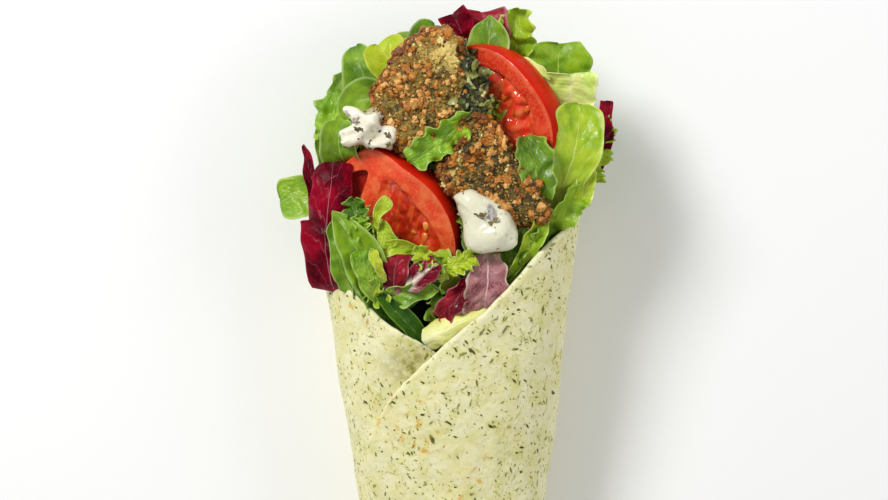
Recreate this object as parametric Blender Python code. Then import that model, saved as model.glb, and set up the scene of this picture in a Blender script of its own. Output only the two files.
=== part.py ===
"""A spinach tortilla rolled round salad, crumbed spinach and cheese patties, tomato and sauce.

The wrap lies on its back on the floor, Z = 0. +Y runs from the folded tail to the open mouth,
+Z is up, and the origin is under the middle of its bounding box. Lengths in this script are
millimetres and become metres when an object is made. Angles round the roll are degrees, from
0 at +X through 90 at the top and 270 on the floor, and go past 360 where the sheet overlaps.
"""
import math
from typing import NamedTuple

import bmesh
import bpy
from mathutils import Vector, noise

MM = 0.001

# The tortilla sheet and the roll that it makes
SHEET = 2.2                 # thickness of the tortilla
LAYER_GAP = 0.3             # air between two layers of the roll
CORE_GAP = 0.5              # air between the roll and the bare filling
WAIST_Y = -50.7             # where the roll's width is stated
WAIST_X = 2.3               # the roll's middle there
WAIST_HALF_WIDTH = 30.1
WIDENING = 0.132            # half width gained for each millimetre toward the mouth
LEAN = -0.025               # the roll's middle drifts to -X toward the mouth
FLATNESS = 0.78             # height of the roll over its width
SETTLE = 1.5                # how far its own weight flattens it on the floor
LIFT_FROM, LIFT_TO = 330.0, 400.0   # where the sheet climbs onto its own first layer
SEAM_DRIFT = 20.0           # degrees that the flap's side edge turns toward the tail
SEAM_LENGTH = 35.0
DRIFT_FROM = 420.0          # only the flap past this angle turns with its edge
TAIL_START = -93.0          # here the skin starts to turn in
TAIL_END = -107.7
TAIL_OPENING = 0.62         # size of the turned-in lip against the roll
CAP_Y = -98.0               # the tucked-in folds that close the tail
CAP_DEPTH = 8.5
CAP_SIZE = 0.9              # against the roll
CAP_RINGS = 8
CAP_SIDES = 20

# The tortilla's edge at the mouth: angle round the roll, and how far along Y the sheet reaches
RIM = ((60, -24), (97, -3.3), (111, 0.5), (130, 6), (150, 13.3), (165, 16.8), (180, 19),
       (215, 30), (270, 46), (325, 50), (358, 44), (375, 40), (393, 34.5), (406, 28.5),
       (423, 17), (435, 9.5), (446, 3.2), (457, -3), (470, -10.5), (482, -18), (492, -24),
       (497, -28), (499.6, -33))
SHEET_COLUMNS = 46
SHEET_LEVELS = (-38.0, -64.0, TAIL_START)    # rows of the sheet below its edge at the mouth
LIP_ROWS = 3

# The bare filling under the leaves that show: its size against the roll, along Y
CORE_START = -88.0
CORE_END = 97.0
MOUTH_Y = 20.0              # past here the filling is free of the tortilla
CORE_WIDTH = ((-10, 1.0), (40, 0.88), (70, 0.72), (90, 0.45), (CORE_END, 0.06))
CORE_TOP = ((-20, 1.0), (25, 0.66), (60, 0.62), (90, 0.42), (CORE_END, 0.05))
CORE_BOTTOM = ((-20, 1.0), (20, 1.0), (40, 0.86), (70, 0.8), (90, 0.55), (CORE_END, 0.05))
CORE_STATIONS = (CORE_START, -50, -20, 0, 14, 26, 38, 50, 62, 74, 84, 92, CORE_END)
CORE_SIDES = 26
CORE_RELIEF = 1.2           # height of the bumps on it past the mouth
CORE_SPACING = 9.0          # and their size
CORE_RELIEF_FULL = 30.0     # the bumps grow from nothing at Y = 0 to their full height here

# Leaves
LEAF = 1.0                  # thickness of a leaf's solid
LEAF_ROWS = 5
LEAF_COLUMNS = 3
LEAF_FLOOR = 1.2            # no leaf's middle surface hangs lower
SIDE_LEAN = 0.011           # leaves face outward by this much for each millimetre from the middle
MOUTH_LEAN = 0.12           # and toward the mouth
BLADE = (0.5, 0.85, 1.0, 0.8, 0.22)      # half width along a leaf, base to tip
PADDLE = (0.35, 0.65, 0.95, 1.0, 0.5)
RIBBON = (0.7, 0.95, 1.0, 0.9, 0.6)
FRILLS = 2.5                # waves along each edge of a leaf
FRILL_SHIFT = 1.9           # how far the waves of one edge lag behind the other's, in radians

GAP = 0.35                  # air between two nodes that touch
FLAT_WITHIN = 1.5           # faces that turn less than this after a cut become one
SHARP_FROM = 40.0           # edges that turn more than this are shaded sharp
HEAP_SOLVER = "MANIFOLD"    # EXACT leaves the many thin crossing leaves touching along edges


class Leaf(NamedTuple):
    """A leaf along three spine points."""
    base: tuple
    middle: tuple
    tip: tuple
    half_width: float
    outline: tuple = BLADE
    cup: float = 0.7            # how far the edges curl up, in radians
    ripple: float = 0.5         # height of the waves along the edges
    facing: tuple = ()          # where the leaf's upper face looks; outward and up if empty


GREEN_LEAVES = (
    # Behind and to the left of the large patty
    Leaf((-19, 70, 36), (-25.5, 82, 43), (-29.5, 97, 40), 7.5, BLADE, 0.6, 0.4),
    Leaf((-11, 80, 38), (-16, 90, 45), (-21, 99, 43), 7.5, PADDLE, 0.6, 0.6, (0.1, 0.3, 1)),
    Leaf((-15, 69, 42), (-25, 79, 49), (-33.5, 73, 45), 7.0, BLADE, 0.7, 0.4, (-0.3, 0.1, 1)),
    Leaf((0, 86, 35), (-6, 96, 41), (-2, 103.5, 38), 7.0, BLADE, 0.8, 0.4),
    # Left side
    Leaf((-25, 57, 30), (-36, 66, 38), (-38.5, 82, 35), 7.0, PADDLE, 0.5, 1.5),
    Leaf((-24, 52, 40), (-34, 60, 47), (-34, 72, 46), 6.5, BLADE, 0.7, 0.4, (-0.2, 0, 1)),
    Leaf((-30, 45, 30), (-43, 46.5, 34), (-53.2, 46.5, 30), 7.0, PADDLE, 0.4, 1.0),
    # In front of the left tomato
    Leaf((-14, 7, 43), (-25.5, 25, 53), (-35, 41, 50), 6.5, BLADE, 1.3, 0.2),
    Leaf((-19, 24, 47), (-24, 36, 53), (-15.5, 47, 59), 5.5, RIBBON, 0.5, 0.8, (-0.3, -0.4, 1)),
    Leaf((-11, 8, 44), (-20, 22, 51), (-27, 34, 52), 8.0, BLADE, 0.5, 0.6),
    Leaf((-1.5, 15, 45), (-6, 26, 52), (-13.5, 30.5, 54), 5.5, BLADE, 0.6, 0.6, (-0.1, -0.3, 1)),
    # Behind and to the right of the right tomato
    Leaf((9, 76, 28), (16, 94, 35), (13.5, 105, 42), 7.5, PADDLE, 0.5, 0.5),
    Leaf((18, 74, 27), (25.5, 93, 36), (21.5, 106.3, 40), 6.5, RIBBON, 0.6, 1.2),
    Leaf((24, 64, 26), (37, 83, 34), (35, 96.5, 40), 12.0, PADDLE, 0.4, 1.0, (0.15, 0, 1)),
    Leaf((26, 58, 26), (42.5, 76, 38), (45, 86, 46), 9.0, RIBBON, 0.4, 0.8, (0.25, 0, 1)),
    # Right side, inside the flap's edge
    Leaf((33, 40, 42), (41.5, 57, 51), (44, 75.5, 48), 8.0, PADDLE, 0.5, 0.5, (0.3, 0, 1)),
    Leaf((36, 46, 38), (47, 56, 40), (50.2, 73, 36), 4.2, RIBBON, 0.3, 1.8),
    Leaf((30, 34, 44), (39.5, 44, 49), (45, 52, 47), 5.5, BLADE, 0.7, 0.6, (0.5, -0.4, 1)),
    Leaf((13, 9, 45), (22.5, 27, 51), (31, 42, 51), 6.0, BLADE, 0.7, 0.5, (0.5, -0.4, 1)),
    # Between the patties and beside the small one
    Leaf((3, 61, 43), (-3, 62.5, 54), (-13.5, 58, 54), 5.0, BLADE, 0.7, 0.9, (0, 0, 1)),
    Leaf((26, 38, 46), (31, 51, 56), (26, 66, 56), 7.5, BLADE, 0.6, 0.9),
    # In the notch between the two ends of the tortilla's edge
    Leaf((-4, -4, 44), (1, 4.5, 52), (15, 11, 53), 5.0, RIBBON, 1.0, 0.3, (0.1, -0.1, 1)),
    Leaf((0, 8, 45), (2.5, 18.5, 54), (8.5, 27.5, 56), 4.5, PADDLE, 0.5, 1.2),
    Leaf((-4, -3, 43), (-13, 5.5, 50), (-24.5, 16, 49), 4.5, BLADE, 0.6, 0.2),
    Leaf((-5, 3, 43), (-11.5, 12, 51), (-16.5, 20, 52), 6.0, BLADE, 0.7, 0.3),
)

# Leaves of the same heap that lie under it and at its sides, fanned round the roll by a rule
UNDER_FROM, UNDER_TO = 190.0, 350.0
UNDER_MIDDLE = (1.5, 27.0)  # x and z of the fan's middle
UNDER_REACH = 3.0           # a leaf ends up to this far from its row's reach
UNDER_SWING = 0.14          # and turns aside by up to this many radians on its way


class Fan(NamedTuple):
    """A row of leaves fanned round the roll."""
    count: int
    base: tuple                 # half width and half height of the row at the leaves' bases
    tip: tuple                  # and at their tips
    base_y: float
    reach: tuple                # where along Y every other leaf ends
    half_width: float


UNDER_ROWS = (
    Fan(10, (27.0, 19.0), (39.0, 24.0), 30.0, (72.0, 88.0), 11.0),
    Fan(5, (16.0, 12.0), (24.0, 14.0), 62.0, (92.0, 99.0), 9.0),
)

# Radicchio leaves, each a node
RADICCHIO = {
    "radicchio_left": Leaf((-29, 13, 37), (-37.5, 34, 47), (-35.5, 56, 45), 9.5, RIBBON, -0.6,
                           0.6, (-0.25, 0, 1)),
    "radicchio_sliver": Leaf((-40.5, 40, 34), (-42.5, 54, 42), (-45.5, 63, 41), 2.4, RIBBON,
                             0.3, 0.2),
    "radicchio_top": Leaf((8.5, 87, 33), (9, 97, 39), (9.5, 106.3, 38), 10.0, RIBBON, 0.4, 0.8),
    "radicchio_right": Leaf((45, 52, 36), (50, 66, 41), (51.5, 78, 40), 2.8, RIBBON, 0.4, 0.8),
    "radicchio_front_left": Leaf((-11, 14, 46), (-12.5, 21, 53), (-11.5, 28, 54), 7.0, RIBBON,
                                 -0.5, 0.8),
    "radicchio_front_right": Leaf((8, 5, 45), (10, 16, 53), (13.5, 27, 55), 8.0, BLADE, 0.5,
                                  1.0),
}


class Tomato(NamedTuple):
    """A wedge of tomato, laid along its core's axis from the stem end."""
    middle: tuple
    axis: tuple
    half_length: float
    radius: float               # core to skin
    stem_end: float             # higher is blunter
    blossom_end: float
    tilt: float                 # the upper cut face leans back by this angle, skin side up


TOMATO = {
    "tomato_left": Tomato((-19, 32, 43.5), (0.891, -0.454, 0.14), 24.0, 28.0, 5.0, 1.8, 35.0),
    "tomato_right": Tomato((13, 69.5, 42), (0.599, -0.801, 0.12), 25.5, 24.0, 2.4, 2.6, 35.0),
}
WEDGE_ANGLE = 56.0          # one wedge of about six
CORE_TRIM = 2.0             # the tough core is cut away,
CORE_TRIM_SHARE = 0.4       # by no more than this share of the radius near the ends
CHAMBERS = ((-0.88, -0.42), (-0.25, 0.8))   # seed chambers along the axis, as shares of it
CHAMBER_RADII = (0.2, 0.7)
CHAMBER_DEPTH = 2.0
TOMATO_STATIONS = 13
TOMATO_POLE = 0.04          # the first and the last station, as a share of the turn from end to end
SKIN_COLUMNS = 7
FACE_COLUMNS = 5


class Pebble(NamedTuple):
    """A thick rounded disc: its outline's corners in plan, and how it sits."""
    corners: tuple
    middle: tuple
    half_thickness: float
    slope: tuple = (0.0, 0.0)   # rise for each millimetre along X and Y


PATTY = {
    "patty_large": Pebble(((1, 101), (7, 97), (11, 89), (14, 80.5), (15, 73.5), (9, 67), (1, 65),
                           (-5, 61), (-11, 59), (-16, 62), (-19, 69), (-23, 77), (-20.5, 84),
                           (-16, 91), (-10, 98), (-4.5, 101.5)), (-3.5, 81, 51), 8.0,
                          (0.02, -0.05)),
    "patty_small": Pebble(((11.5, 71), (16, 68), (22, 59), (29, 49), (33, 42), (30, 38), (21, 38),
                           (10, 43), (2, 48), (-1.5, 52.5), (1, 58), (6, 65)), (14.5, 53, 54),
                          6.5, (-0.03, 0.06)),
}
PATTY_SIDES = 32
PATTY_RINGS = 6
PATTY_ROUND = 3.0           # higher is flatter on top and steeper at the edge
CRUMB_RELIEF = 1.8
CRUMB_SPACING = 4.2

SAUCE = {
    "sauce_left": Pebble(((-32, 71.5), (-28, 73.5), (-23.5, 74.5), (-19, 73), (-15.5, 69),
                          (-14.5, 64.5), (-16.5, 61), (-24, 61.5), (-31.5, 62.5), (-31, 67)),
                         (-23.5, 67.5, 54), 5.5, (0.05, -0.1)),
    "sauce_right": Pebble(((3.2, 48.5), (8.5, 47.5), (14, 46), (20, 41.5), (24, 35), (22.5, 30.5),
                           (17, 28), (9.5, 28.5), (6, 34), (5.5, 42)), (13.5, 37.5, 57), 6.5,
                          (0.0, -0.12)),
}
SAUCE_SIDES = 20
SAUCE_RINGS = 4
SAUCE_ROUND = 2.2
SAUCE_RELIEF = 0.9
SAUCE_SPACING = 9.0

COLOURS = {                 # red, green, blue, roughness
    "tortilla": (0.78, 0.76, 0.50, 0.62),
    "green": (0.20, 0.38, 0.04, 0.42),
    "radicchio": (0.16, 0.01, 0.04, 0.38),
    "tomato": (0.62, 0.03, 0.01, 0.22),
    "patty": (0.24, 0.12, 0.03, 0.75),
    "sauce": (0.82, 0.80, 0.70, 0.28),
}


# Curves and meshes

def curve_value(keys, x):
    """A smooth value at x, through (position, value) keys in rising order."""
    if x <= keys[0][0]:
        return keys[0][1]
    if x >= keys[-1][0]:
        return keys[-1][1]
    last = len(keys) - 1
    slopes = []
    for i in range(last + 1):
        low, high = keys[max(i - 1, 0)], keys[min(i + 1, last)]
        slopes.append((high[1] - low[1]) / (high[0] - low[0]))
    i = max(k for k in range(last) if keys[k][0] <= x)
    span = keys[i + 1][0] - keys[i][0]
    t = (x - keys[i][0]) / span
    return ((2 * t**3 - 3 * t**2 + 1) * keys[i][1] + (t**3 - 2 * t**2 + t) * span * slopes[i]
            + (3 * t**2 - 2 * t**3) * keys[i + 1][1] + (t**3 - t**2) * span * slopes[i + 1])


def along(values, t):
    """A smooth value at t, from 0 to 1, through evenly spaced values."""
    last = len(values) - 1
    return curve_value(tuple((i / last, value) for i, value in enumerate(values)), t)


def loop_point(corners, t):
    """A point at t, from 0 to 1, on the smooth closed line through the corners."""
    place = (t % 1.0) * len(corners)
    i = int(place)
    f = place - i
    a, b, c, d = (Vector(corners[(i + k) % len(corners)]) for k in (-1, 0, 1, 2))
    return 0.5 * (2 * b + (c - a) * f + (2 * a - 5 * b + 4 * c - d) * f**2
                  + (3 * b - a - 3 * c + d) * f**3)


def smooth_step(low, high, x):
    """0 below low and 1 above high, with a smooth rise between."""
    t = min(max((x - low) / (high - low), 0.0), 1.0)
    return t * t * (3 - 2 * t)


def new_object(name, points, faces, colour):
    """An object from points in millimetres and faces of point numbers, facing outward."""
    mesh = bpy.data.meshes.new(name)
    mesh.from_pydata([Vector(p) * MM for p in points], [], faces)
    mesh.validate()
    piece = bpy.data.objects.new(name, mesh)
    bpy.context.collection.objects.link(piece)
    mesh.materials.append(material(colour))
    face_outward(piece)
    return piece


def material(kind):
    """The shared material of one kind of food."""
    if kind in bpy.data.materials:
        return bpy.data.materials[kind]
    finish = bpy.data.materials.new(kind)
    finish.use_nodes = True
    shader = finish.node_tree.nodes["Principled BSDF"]
    red, green, blue, roughness = COLOURS[kind]
    shader.inputs["Base Color"].default_value = (red, green, blue, 1.0)
    shader.inputs["Roughness"].default_value = roughness
    shader.inputs["Metallic"].default_value = 0.0
    return finish


def face_outward(piece):
    """Split a piece's faces into triangles that face out."""
    mesh = bmesh.new()
    mesh.from_mesh(piece.data)
    bmesh.ops.triangulate(mesh, faces=mesh.faces)
    bmesh.ops.recalc_face_normals(mesh, faces=mesh.faces)
    if mesh.calc_volume(signed=True) < 0:
        bmesh.ops.reverse_faces(mesh, faces=mesh.faces)
    mesh.to_mesh(piece.data)
    mesh.free()


def grid_faces(rows, columns, start=0, closed=False):
    """Quads of a grid of points stored row by row; a closed grid joins its last column to its first."""
    faces = []
    across = columns if closed else columns - 1
    for row in range(rows - 1):
        for column in range(across):
            a = start + row * columns + column
            b = start + row * columns + (column + 1) % columns
            faces.append((a, b, b + columns, a + columns))
    return faces


def ring_solid(name, rings, colour):
    """A closed solid through rings of points, with a flat end at the first and the last."""
    columns = len(rings[0])
    points = [point for ring in rings for point in ring]
    faces = grid_faces(len(rings), columns, closed=True)
    faces.append(tuple(range(columns)))
    faces.append(tuple(range(len(points) - columns, len(points))))
    return new_object(name, points, faces, colour)


def plate_solid(name, upper, lower, colour):
    """A closed solid between two grids of points, both split into triangles alike."""
    rows, columns = len(upper), len(upper[0])
    count = rows * columns
    points = [p for row in upper for p in row] + [p for row in lower for p in row]
    faces = []
    for a, b, c, d in grid_faces(rows, columns):
        faces += [(a, b, c), (a, c, d)]
        faces += [(a + count, c + count, b + count), (a + count, d + count, c + count)]
    edge = [column for column in range(columns)]
    edge += [row * columns + columns - 1 for row in range(1, rows)]
    edge += [(rows - 1) * columns + column for column in range(columns - 2, -1, -1)]
    edge += [row * columns for row in range(rows - 2, 0, -1)]
    for a, b in zip(edge, edge[1:] + edge[:1]):
        faces.append((a, b, b + count, a + count))
    return new_object(name, points, faces, colour)


# Joining and cutting

def apply_modifiers(piece):
    """Turn what a piece's modifiers make into its own mesh."""
    graph = bpy.context.evaluated_depsgraph_get()
    mesh = bpy.data.meshes.new_from_object(piece.evaluated_get(graph))
    old = piece.data
    piece.modifiers.clear()
    piece.data = mesh
    bpy.data.meshes.remove(old)


def remove(piece):
    """Take an object out of the file."""
    bpy.data.objects.remove(piece)


def boolean(piece, others, operation, solver="EXACT"):
    """Join other solids to a piece, or cut it by them, in one step, and remove them."""
    group = bpy.data.collections.new("others")
    bpy.context.scene.collection.children.link(group)
    for other in others:
        group.objects.link(other)
    step = piece.modifiers.new("boolean", "BOOLEAN")
    step.operation = operation
    step.operand_type = "COLLECTION"
    step.collection = group
    step.solver = solver
    apply_modifiers(piece)
    for other in others:
        remove(other)
    bpy.data.collections.remove(group)
    keep_body(piece)


def keep_body(piece):
    """Keep a piece's one main body: loose scraps go, and sealed hollows are filled."""
    mesh = bmesh.new()
    mesh.from_mesh(piece.data)
    bmesh.ops.dissolve_limit(mesh, angle_limit=math.radians(FLAT_WITHIN), verts=mesh.verts,
                             edges=mesh.edges)
    bmesh.ops.triangulate(mesh, faces=mesh.faces)
    bodies = []
    seen = set()
    for start in mesh.faces:
        if start in seen:
            continue
        seen.add(start)
        body, queue = [], [start]
        while queue:
            face = queue.pop()
            body.append(face)
            for edge in face.edges:
                for other in edge.link_faces:
                    if other not in seen:
                        seen.add(other)
                        queue.append(other)
        bodies.append((body_volume(body), body))
    main = max(bodies, key=lambda entry: entry[0])[1]
    extra = [face for _, body in bodies if body is not main for face in body]
    bmesh.ops.delete(mesh, geom=extra, context="FACES")
    loose = [vert for vert in mesh.verts if not vert.link_faces]
    bmesh.ops.delete(mesh, geom=loose, context="VERTS")
    mesh.to_mesh(piece.data)
    mesh.free()


def body_volume(faces):
    """Signed volume inside triangles."""
    total = 0.0
    for face in faces:
        a, b, c = (vert.co for vert in face.verts)
        total += a.dot(b.cross(c)) / 6.0
    return total


def swollen(piece):
    """A copy of a piece, larger by the gap all round, to cut its neighbours with."""
    copy = piece.copy()
    copy.data = piece.data.copy()
    bpy.context.collection.objects.link(copy)
    mesh = bmesh.new()
    mesh.from_mesh(copy.data)
    mesh.normal_update()
    moves = [vert.normal * vert.calc_shell_factor() * GAP * MM for vert in mesh.verts]
    for vert, move in zip(mesh.verts, moves):
        vert.co += move
    mesh.to_mesh(copy.data)
    mesh.free()
    return copy


# The tortilla

def roll(y):
    """The roll's middle x, half width, half height and middle height at y."""
    half_width = WAIST_HALF_WIDTH + (y - WAIST_Y) * WIDENING
    half_height = half_width * FLATNESS
    return WAIST_X + (y - WAIST_Y) * LEAN, half_width, half_height, half_height - SETTLE


def skin_point(angle, y, depth=0.0, lifted=True):
    """A point under the roll's skin by a depth; the tail's skin turns in over a quarter ellipse."""
    middle_x, half_width, half_height, middle_z = roll(y)
    turn = math.asin(min(max((TAIL_START - y) / (TAIL_START - TAIL_END), 0.0), 1.0))
    size = TAIL_OPENING + (1 - TAIL_OPENING) * math.cos(turn)
    out = -depth * math.cos(turn)
    if lifted:
        out += (SHEET + LAYER_GAP) * smooth_step(LIFT_FROM, LIFT_TO, angle)
    x = middle_x + (half_width * size + out) * math.cos(math.radians(angle))
    z = middle_z + (half_height * size + out) * math.sin(math.radians(angle))
    return Vector((x, y + depth * math.sin(turn), max(z, depth)))


def sheet_angle(rim_angle, y):
    """The angle at y of the sheet's column that starts at rim_angle: the flap's edge drifts."""
    below = max(RIM[-1][1] - y, 0.0)
    share = max(rim_angle - DRIFT_FROM, 0.0) / (RIM[-1][0] - DRIFT_FROM)
    return rim_angle + SEAM_DRIFT * (1 - math.exp(-below / SEAM_LENGTH)) * share


def make_tortilla():
    """The rolled sheet, its edge at the mouth following RIM and its tail tucked in."""
    lip = [math.pi / 2 * row / LIP_ROWS for row in range(1, LIP_ROWS + 1)]
    lip_y = [TAIL_START - (TAIL_START - TAIL_END) * math.sin(turn) for turn in lip]
    outer, inner = [], []
    for column in range(SHEET_COLUMNS + 1):
        rim_angle = RIM[0][0] + (RIM[-1][0] - RIM[0][0]) * column / SHEET_COLUMNS
        rim_y = curve_value(RIM, rim_angle)
        rows = [rim_y, *SHEET_LEVELS, *lip_y]
        outer.append([skin_point(sheet_angle(rim_angle, y), y) for y in rows])
        inner.append([skin_point(sheet_angle(rim_angle, y), y, SHEET) for y in rows])
    tortilla = plate_solid("tortilla", outer, inner, "tortilla")
    boolean(tortilla, [make_tail_folds()], "UNION")
    return tortilla


def make_tail_folds():
    """The flattened dome of tucked-in tortilla that closes the tail."""
    middle_x, half_width, half_height, middle_z = roll(CAP_Y)
    rings = []
    for number in range(1, CAP_RINGS):
        tilt = math.pi * number / CAP_RINGS
        width, height = (size * CAP_SIZE * math.sin(tilt) for size in (half_width, half_height))
        turns = (2 * math.pi * side / CAP_SIDES for side in range(CAP_SIDES))
        rings.append([(middle_x + width * math.cos(turn), CAP_Y + CAP_DEPTH * math.cos(tilt),
                       middle_z + height * math.sin(turn)) for turn in turns])
    return ring_solid("tail_folds", rings, "tortilla")


# The salad

def core_ring(y):
    """The bare filling's outline at y: the roll's inside, then a smaller heap past the mouth."""
    middle_x, half_width, half_height, middle_z = roll(min(y, MOUTH_Y))
    depth = SHEET + CORE_GAP
    width = (half_width - depth) * curve_value(CORE_WIDTH, y)
    top = (half_height - depth) * curve_value(CORE_TOP, y)
    bottom = (half_height - depth) * curve_value(CORE_BOTTOM, y)
    relief = CORE_RELIEF * smooth_step(0, CORE_RELIEF_FULL, y)
    ring = []
    for side in range(CORE_SIDES):
        turn = 2 * math.pi * side / CORE_SIDES
        height = top if math.sin(turn) > 0 else bottom
        point = Vector((middle_x + width * math.cos(turn), y, middle_z + height * math.sin(turn)))
        bump = relief * noise.noise(point / CORE_SPACING)
        point.x += bump * math.cos(turn)
        point.z = max(point.z + bump * math.sin(turn), depth)
        ring.append(point)
    return ring


def leaf_solid(name, leaf, colour):
    """A thin wavy solid along a leaf's spine, its edges cupped up and rippled."""
    base, middle, tip = Vector(leaf.base), Vector(leaf.middle), Vector(leaf.tip)
    facing = Vector(leaf.facing or (middle.x * SIDE_LEAN, MOUTH_LEAN, 1.0))
    upper, lower = [], []
    for row in range(LEAF_ROWS + 1):
        t = row / LEAF_ROWS
        centre = (base * (1 - t) * (1 - 2 * t) + middle * 4 * t * (1 - t)
                  + tip * t * (2 * t - 1))
        ahead = base * (4 * t - 3) + middle * (4 - 8 * t) + tip * (4 * t - 1)
        side = ahead.cross(facing).normalized()
        normal = side.cross(ahead).normalized()
        width = leaf.half_width * along(leaf.outline, t)
        upper_row, lower_row = [], []
        for column in range(LEAF_COLUMNS + 1):
            across = 2 * column / LEAF_COLUMNS - 1
            wave = math.sin(2 * math.pi * FRILLS * t + (FRILL_SHIFT if across > 0 else 0.0))
            curl = leaf.cup * across
            point = (centre + side * width * math.sin(curl) / leaf.cup
                     + normal * (width * (1 - math.cos(curl)) / leaf.cup
                                 + leaf.ripple * abs(across)**1.5 * wave))
            point.z = max(point.z, LEAF_FLOOR)
            half = (normal * math.cos(curl) - side * math.sin(curl)) * LEAF / 2
            upper_row.append(point + half)
            lower_row.append(point - half)
        upper.append(upper_row)
        lower.append(lower_row)
    return plate_solid(name, upper, lower, colour)


def under_leaves(fan):
    """One row of the leaves that lie under the heap and at its sides."""
    middle_x, middle_z = UNDER_MIDDLE
    leaves = []
    for number in range(fan.count):
        turn = math.radians(UNDER_FROM + (UNDER_TO - UNDER_FROM) * number / (fan.count - 1))
        reach = fan.reach[number % 2] + UNDER_REACH * math.sin(2.4 * number)
        swing = UNDER_SWING * math.sin(1.7 * number)
        spine = []
        for step in (0.0, 0.5, 1.0):
            spread = math.sin(step * math.pi / 2)
            wide = fan.base[0] + (fan.tip[0] - fan.base[0]) * spread
            tall = fan.base[1] + (fan.tip[1] - fan.base[1]) * spread
            angle = turn + swing * step
            spine.append((middle_x + wide * math.cos(angle),
                          fan.base_y + (reach - fan.base_y) * step,
                          middle_z + tall * math.sin(angle)))
        facing = (math.cos(turn), 0.0, math.sin(turn))
        leaves.append(Leaf(*spine, fan.half_width, PADDLE, 0.4, 1.0, facing))
    return leaves


def make_salad():
    """The heap of green leaves: the bare filling with the leaves that show fused on."""
    salad = ring_solid("salad", [core_ring(y) for y in CORE_STATIONS], "green")
    designs = [*GREEN_LEAVES]
    for fan in UNDER_ROWS:
        designs += under_leaves(fan)
    leaves = [leaf_solid("leaf", design, "green") for design in designs]
    boolean(salad, leaves, "UNION", HEAP_SOLVER)
    return salad


def make_radicchio():
    """The red leaves, a solid each."""
    return [leaf_solid(name, leaf, "radicchio") for name, leaf in RADICCHIO.items()]


# The toppings

def chamber_depth(s, radius):
    """How far the cut face is sunk at a place along the axis and a share of the radius."""
    for low, high in CHAMBERS:
        if low < s < high and CHAMBER_RADII[0] < radius < CHAMBER_RADII[1]:
            return CHAMBER_DEPTH
    return 0.0


def make_tomato(name):
    """A wedge: two cut faces that meet near the core, and round skin, with poles at both ends."""
    wedge = TOMATO[name]
    middle, axis = Vector(wedge.middle), Vector(wedge.axis).normalized()
    flat = Vector((-axis.y, axis.x, 0.0)).normalized()
    tilt = math.radians(wedge.tilt)
    to_skin = flat * math.cos(tilt) + flat.cross(axis) * -math.sin(tilt)
    face_normal = axis.cross(to_skin).normalized()
    rings = []
    for station in range(TOMATO_STATIONS + 1):
        turn = TOMATO_POLE + (1 - 2 * TOMATO_POLE) * station / TOMATO_STATIONS
        s = -math.cos(math.pi * turn)
        roundness = wedge.stem_end if s < 0 else wedge.blossom_end
        radius = wedge.radius * (1 - abs(s)**roundness)**0.5
        centre = middle + axis * s * wedge.half_length
        ring = []
        for column in range(SKIN_COLUMNS):
            angle = math.radians(WEDGE_ANGLE) * column / (SKIN_COLUMNS - 1)
            ring.append(centre + (to_skin * math.cos(angle) - face_normal * math.sin(angle)) * radius)
        trim = min(CORE_TRIM, radius * CORE_TRIM_SHARE)
        half = math.radians(WEDGE_ANGLE / 2)
        ring.append(centre + (to_skin * math.cos(half) - face_normal * math.sin(half)) * trim)
        for column in range(1, FACE_COLUMNS + 1):
            share = column / (FACE_COLUMNS + 1)
            sunk = chamber_depth(s, share)
            ring.append(centre + to_skin * radius * share - face_normal * sunk)
        rings.append(ring)
    return ring_solid(name, rings, "tomato")


def pebble(name, design, sides, rings, roundness, relief, spacing, colour):
    """A thick rounded disc on an outline, with bumps of a stated spacing."""
    middle = Vector(design.middle)
    loops = []
    for ring in range(1, 2 * rings):
        turn = math.pi * ring / (2 * rings)
        share = (1 - abs(math.cos(turn))**roundness)**(1 / roundness)
        loop = []
        for side in range(sides):
            edge = loop_point(design.corners, side / sides) - middle.xy
            flat = middle.xy + edge * share
            tall = math.copysign(abs(math.cos(turn))**(2 / roundness), math.cos(turn))
            height = design.half_thickness * tall + edge.dot(Vector(design.slope)) * share
            point = Vector((flat.x, flat.y, middle.z + height))
            out = Vector((edge.x * share, edge.y * share, height * 2)).normalized()
            loop.append(point + out * relief * noise.noise(point / spacing))
        loops.append(loop)
    return ring_solid(name, loops, colour)


def make_patties():
    """The crumbed patties, by name."""
    return {name: pebble(name, design, PATTY_SIDES, PATTY_RINGS, PATTY_ROUND, CRUMB_RELIEF,
                         CRUMB_SPACING, "patty") for name, design in PATTY.items()}


def make_sauces():
    """The dollops of sauce, by name."""
    return {name: pebble(name, design, SAUCE_SIDES, SAUCE_RINGS, SAUCE_ROUND, SAUCE_RELIEF,
                         SAUCE_SPACING, "sauce") for name, design in SAUCE.items()}


# The whole wrap

def main():
    """Build every piece in order, each cut to clear the ones before it."""
    for piece in list(bpy.data.objects):
        remove(piece)
    tortilla = make_tortilla()
    placed = [make_tomato(name) for name in TOMATO]
    patties = make_patties()
    sauces = make_sauces()
    fitted = [patties["patty_small"], patties["patty_large"], *sauces.values(), *make_radicchio()]
    for piece in fitted:
        cutters = [swollen(other) for other in placed]
        if piece.name in RADICCHIO:
            cutters.append(swollen(tortilla))
        boolean(piece, cutters, "DIFFERENCE")
        placed.append(piece)
    salad = make_salad()
    boolean(salad, [swollen(other) for other in (*placed, tortilla)], "DIFFERENCE", HEAP_SOLVER)
    for piece in (tortilla, salad, *placed):
        piece.data.shade_smooth()
        piece.data.set_sharp_from_angle(angle=math.radians(SHARP_FROM))


main()
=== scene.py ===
"""The looks of a spinach tortilla rolled round salad, crumbed patties, tomato and white sauce.

The wrap lies on its back, its open mouth toward +Y. Shapes are worked out in millimetres and
turn into metres when an object is made. Angles round the roll are degrees, from 0 at +X through
90 at the top and 270 on the floor, and go past 360 where the tortilla overlaps itself.
"""
import logging
import math
from dataclasses import dataclass, replace
from enum import Enum
from typing import Any, Sequence

import bmesh
import bpy
import numpy as np
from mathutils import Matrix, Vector, noise


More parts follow.
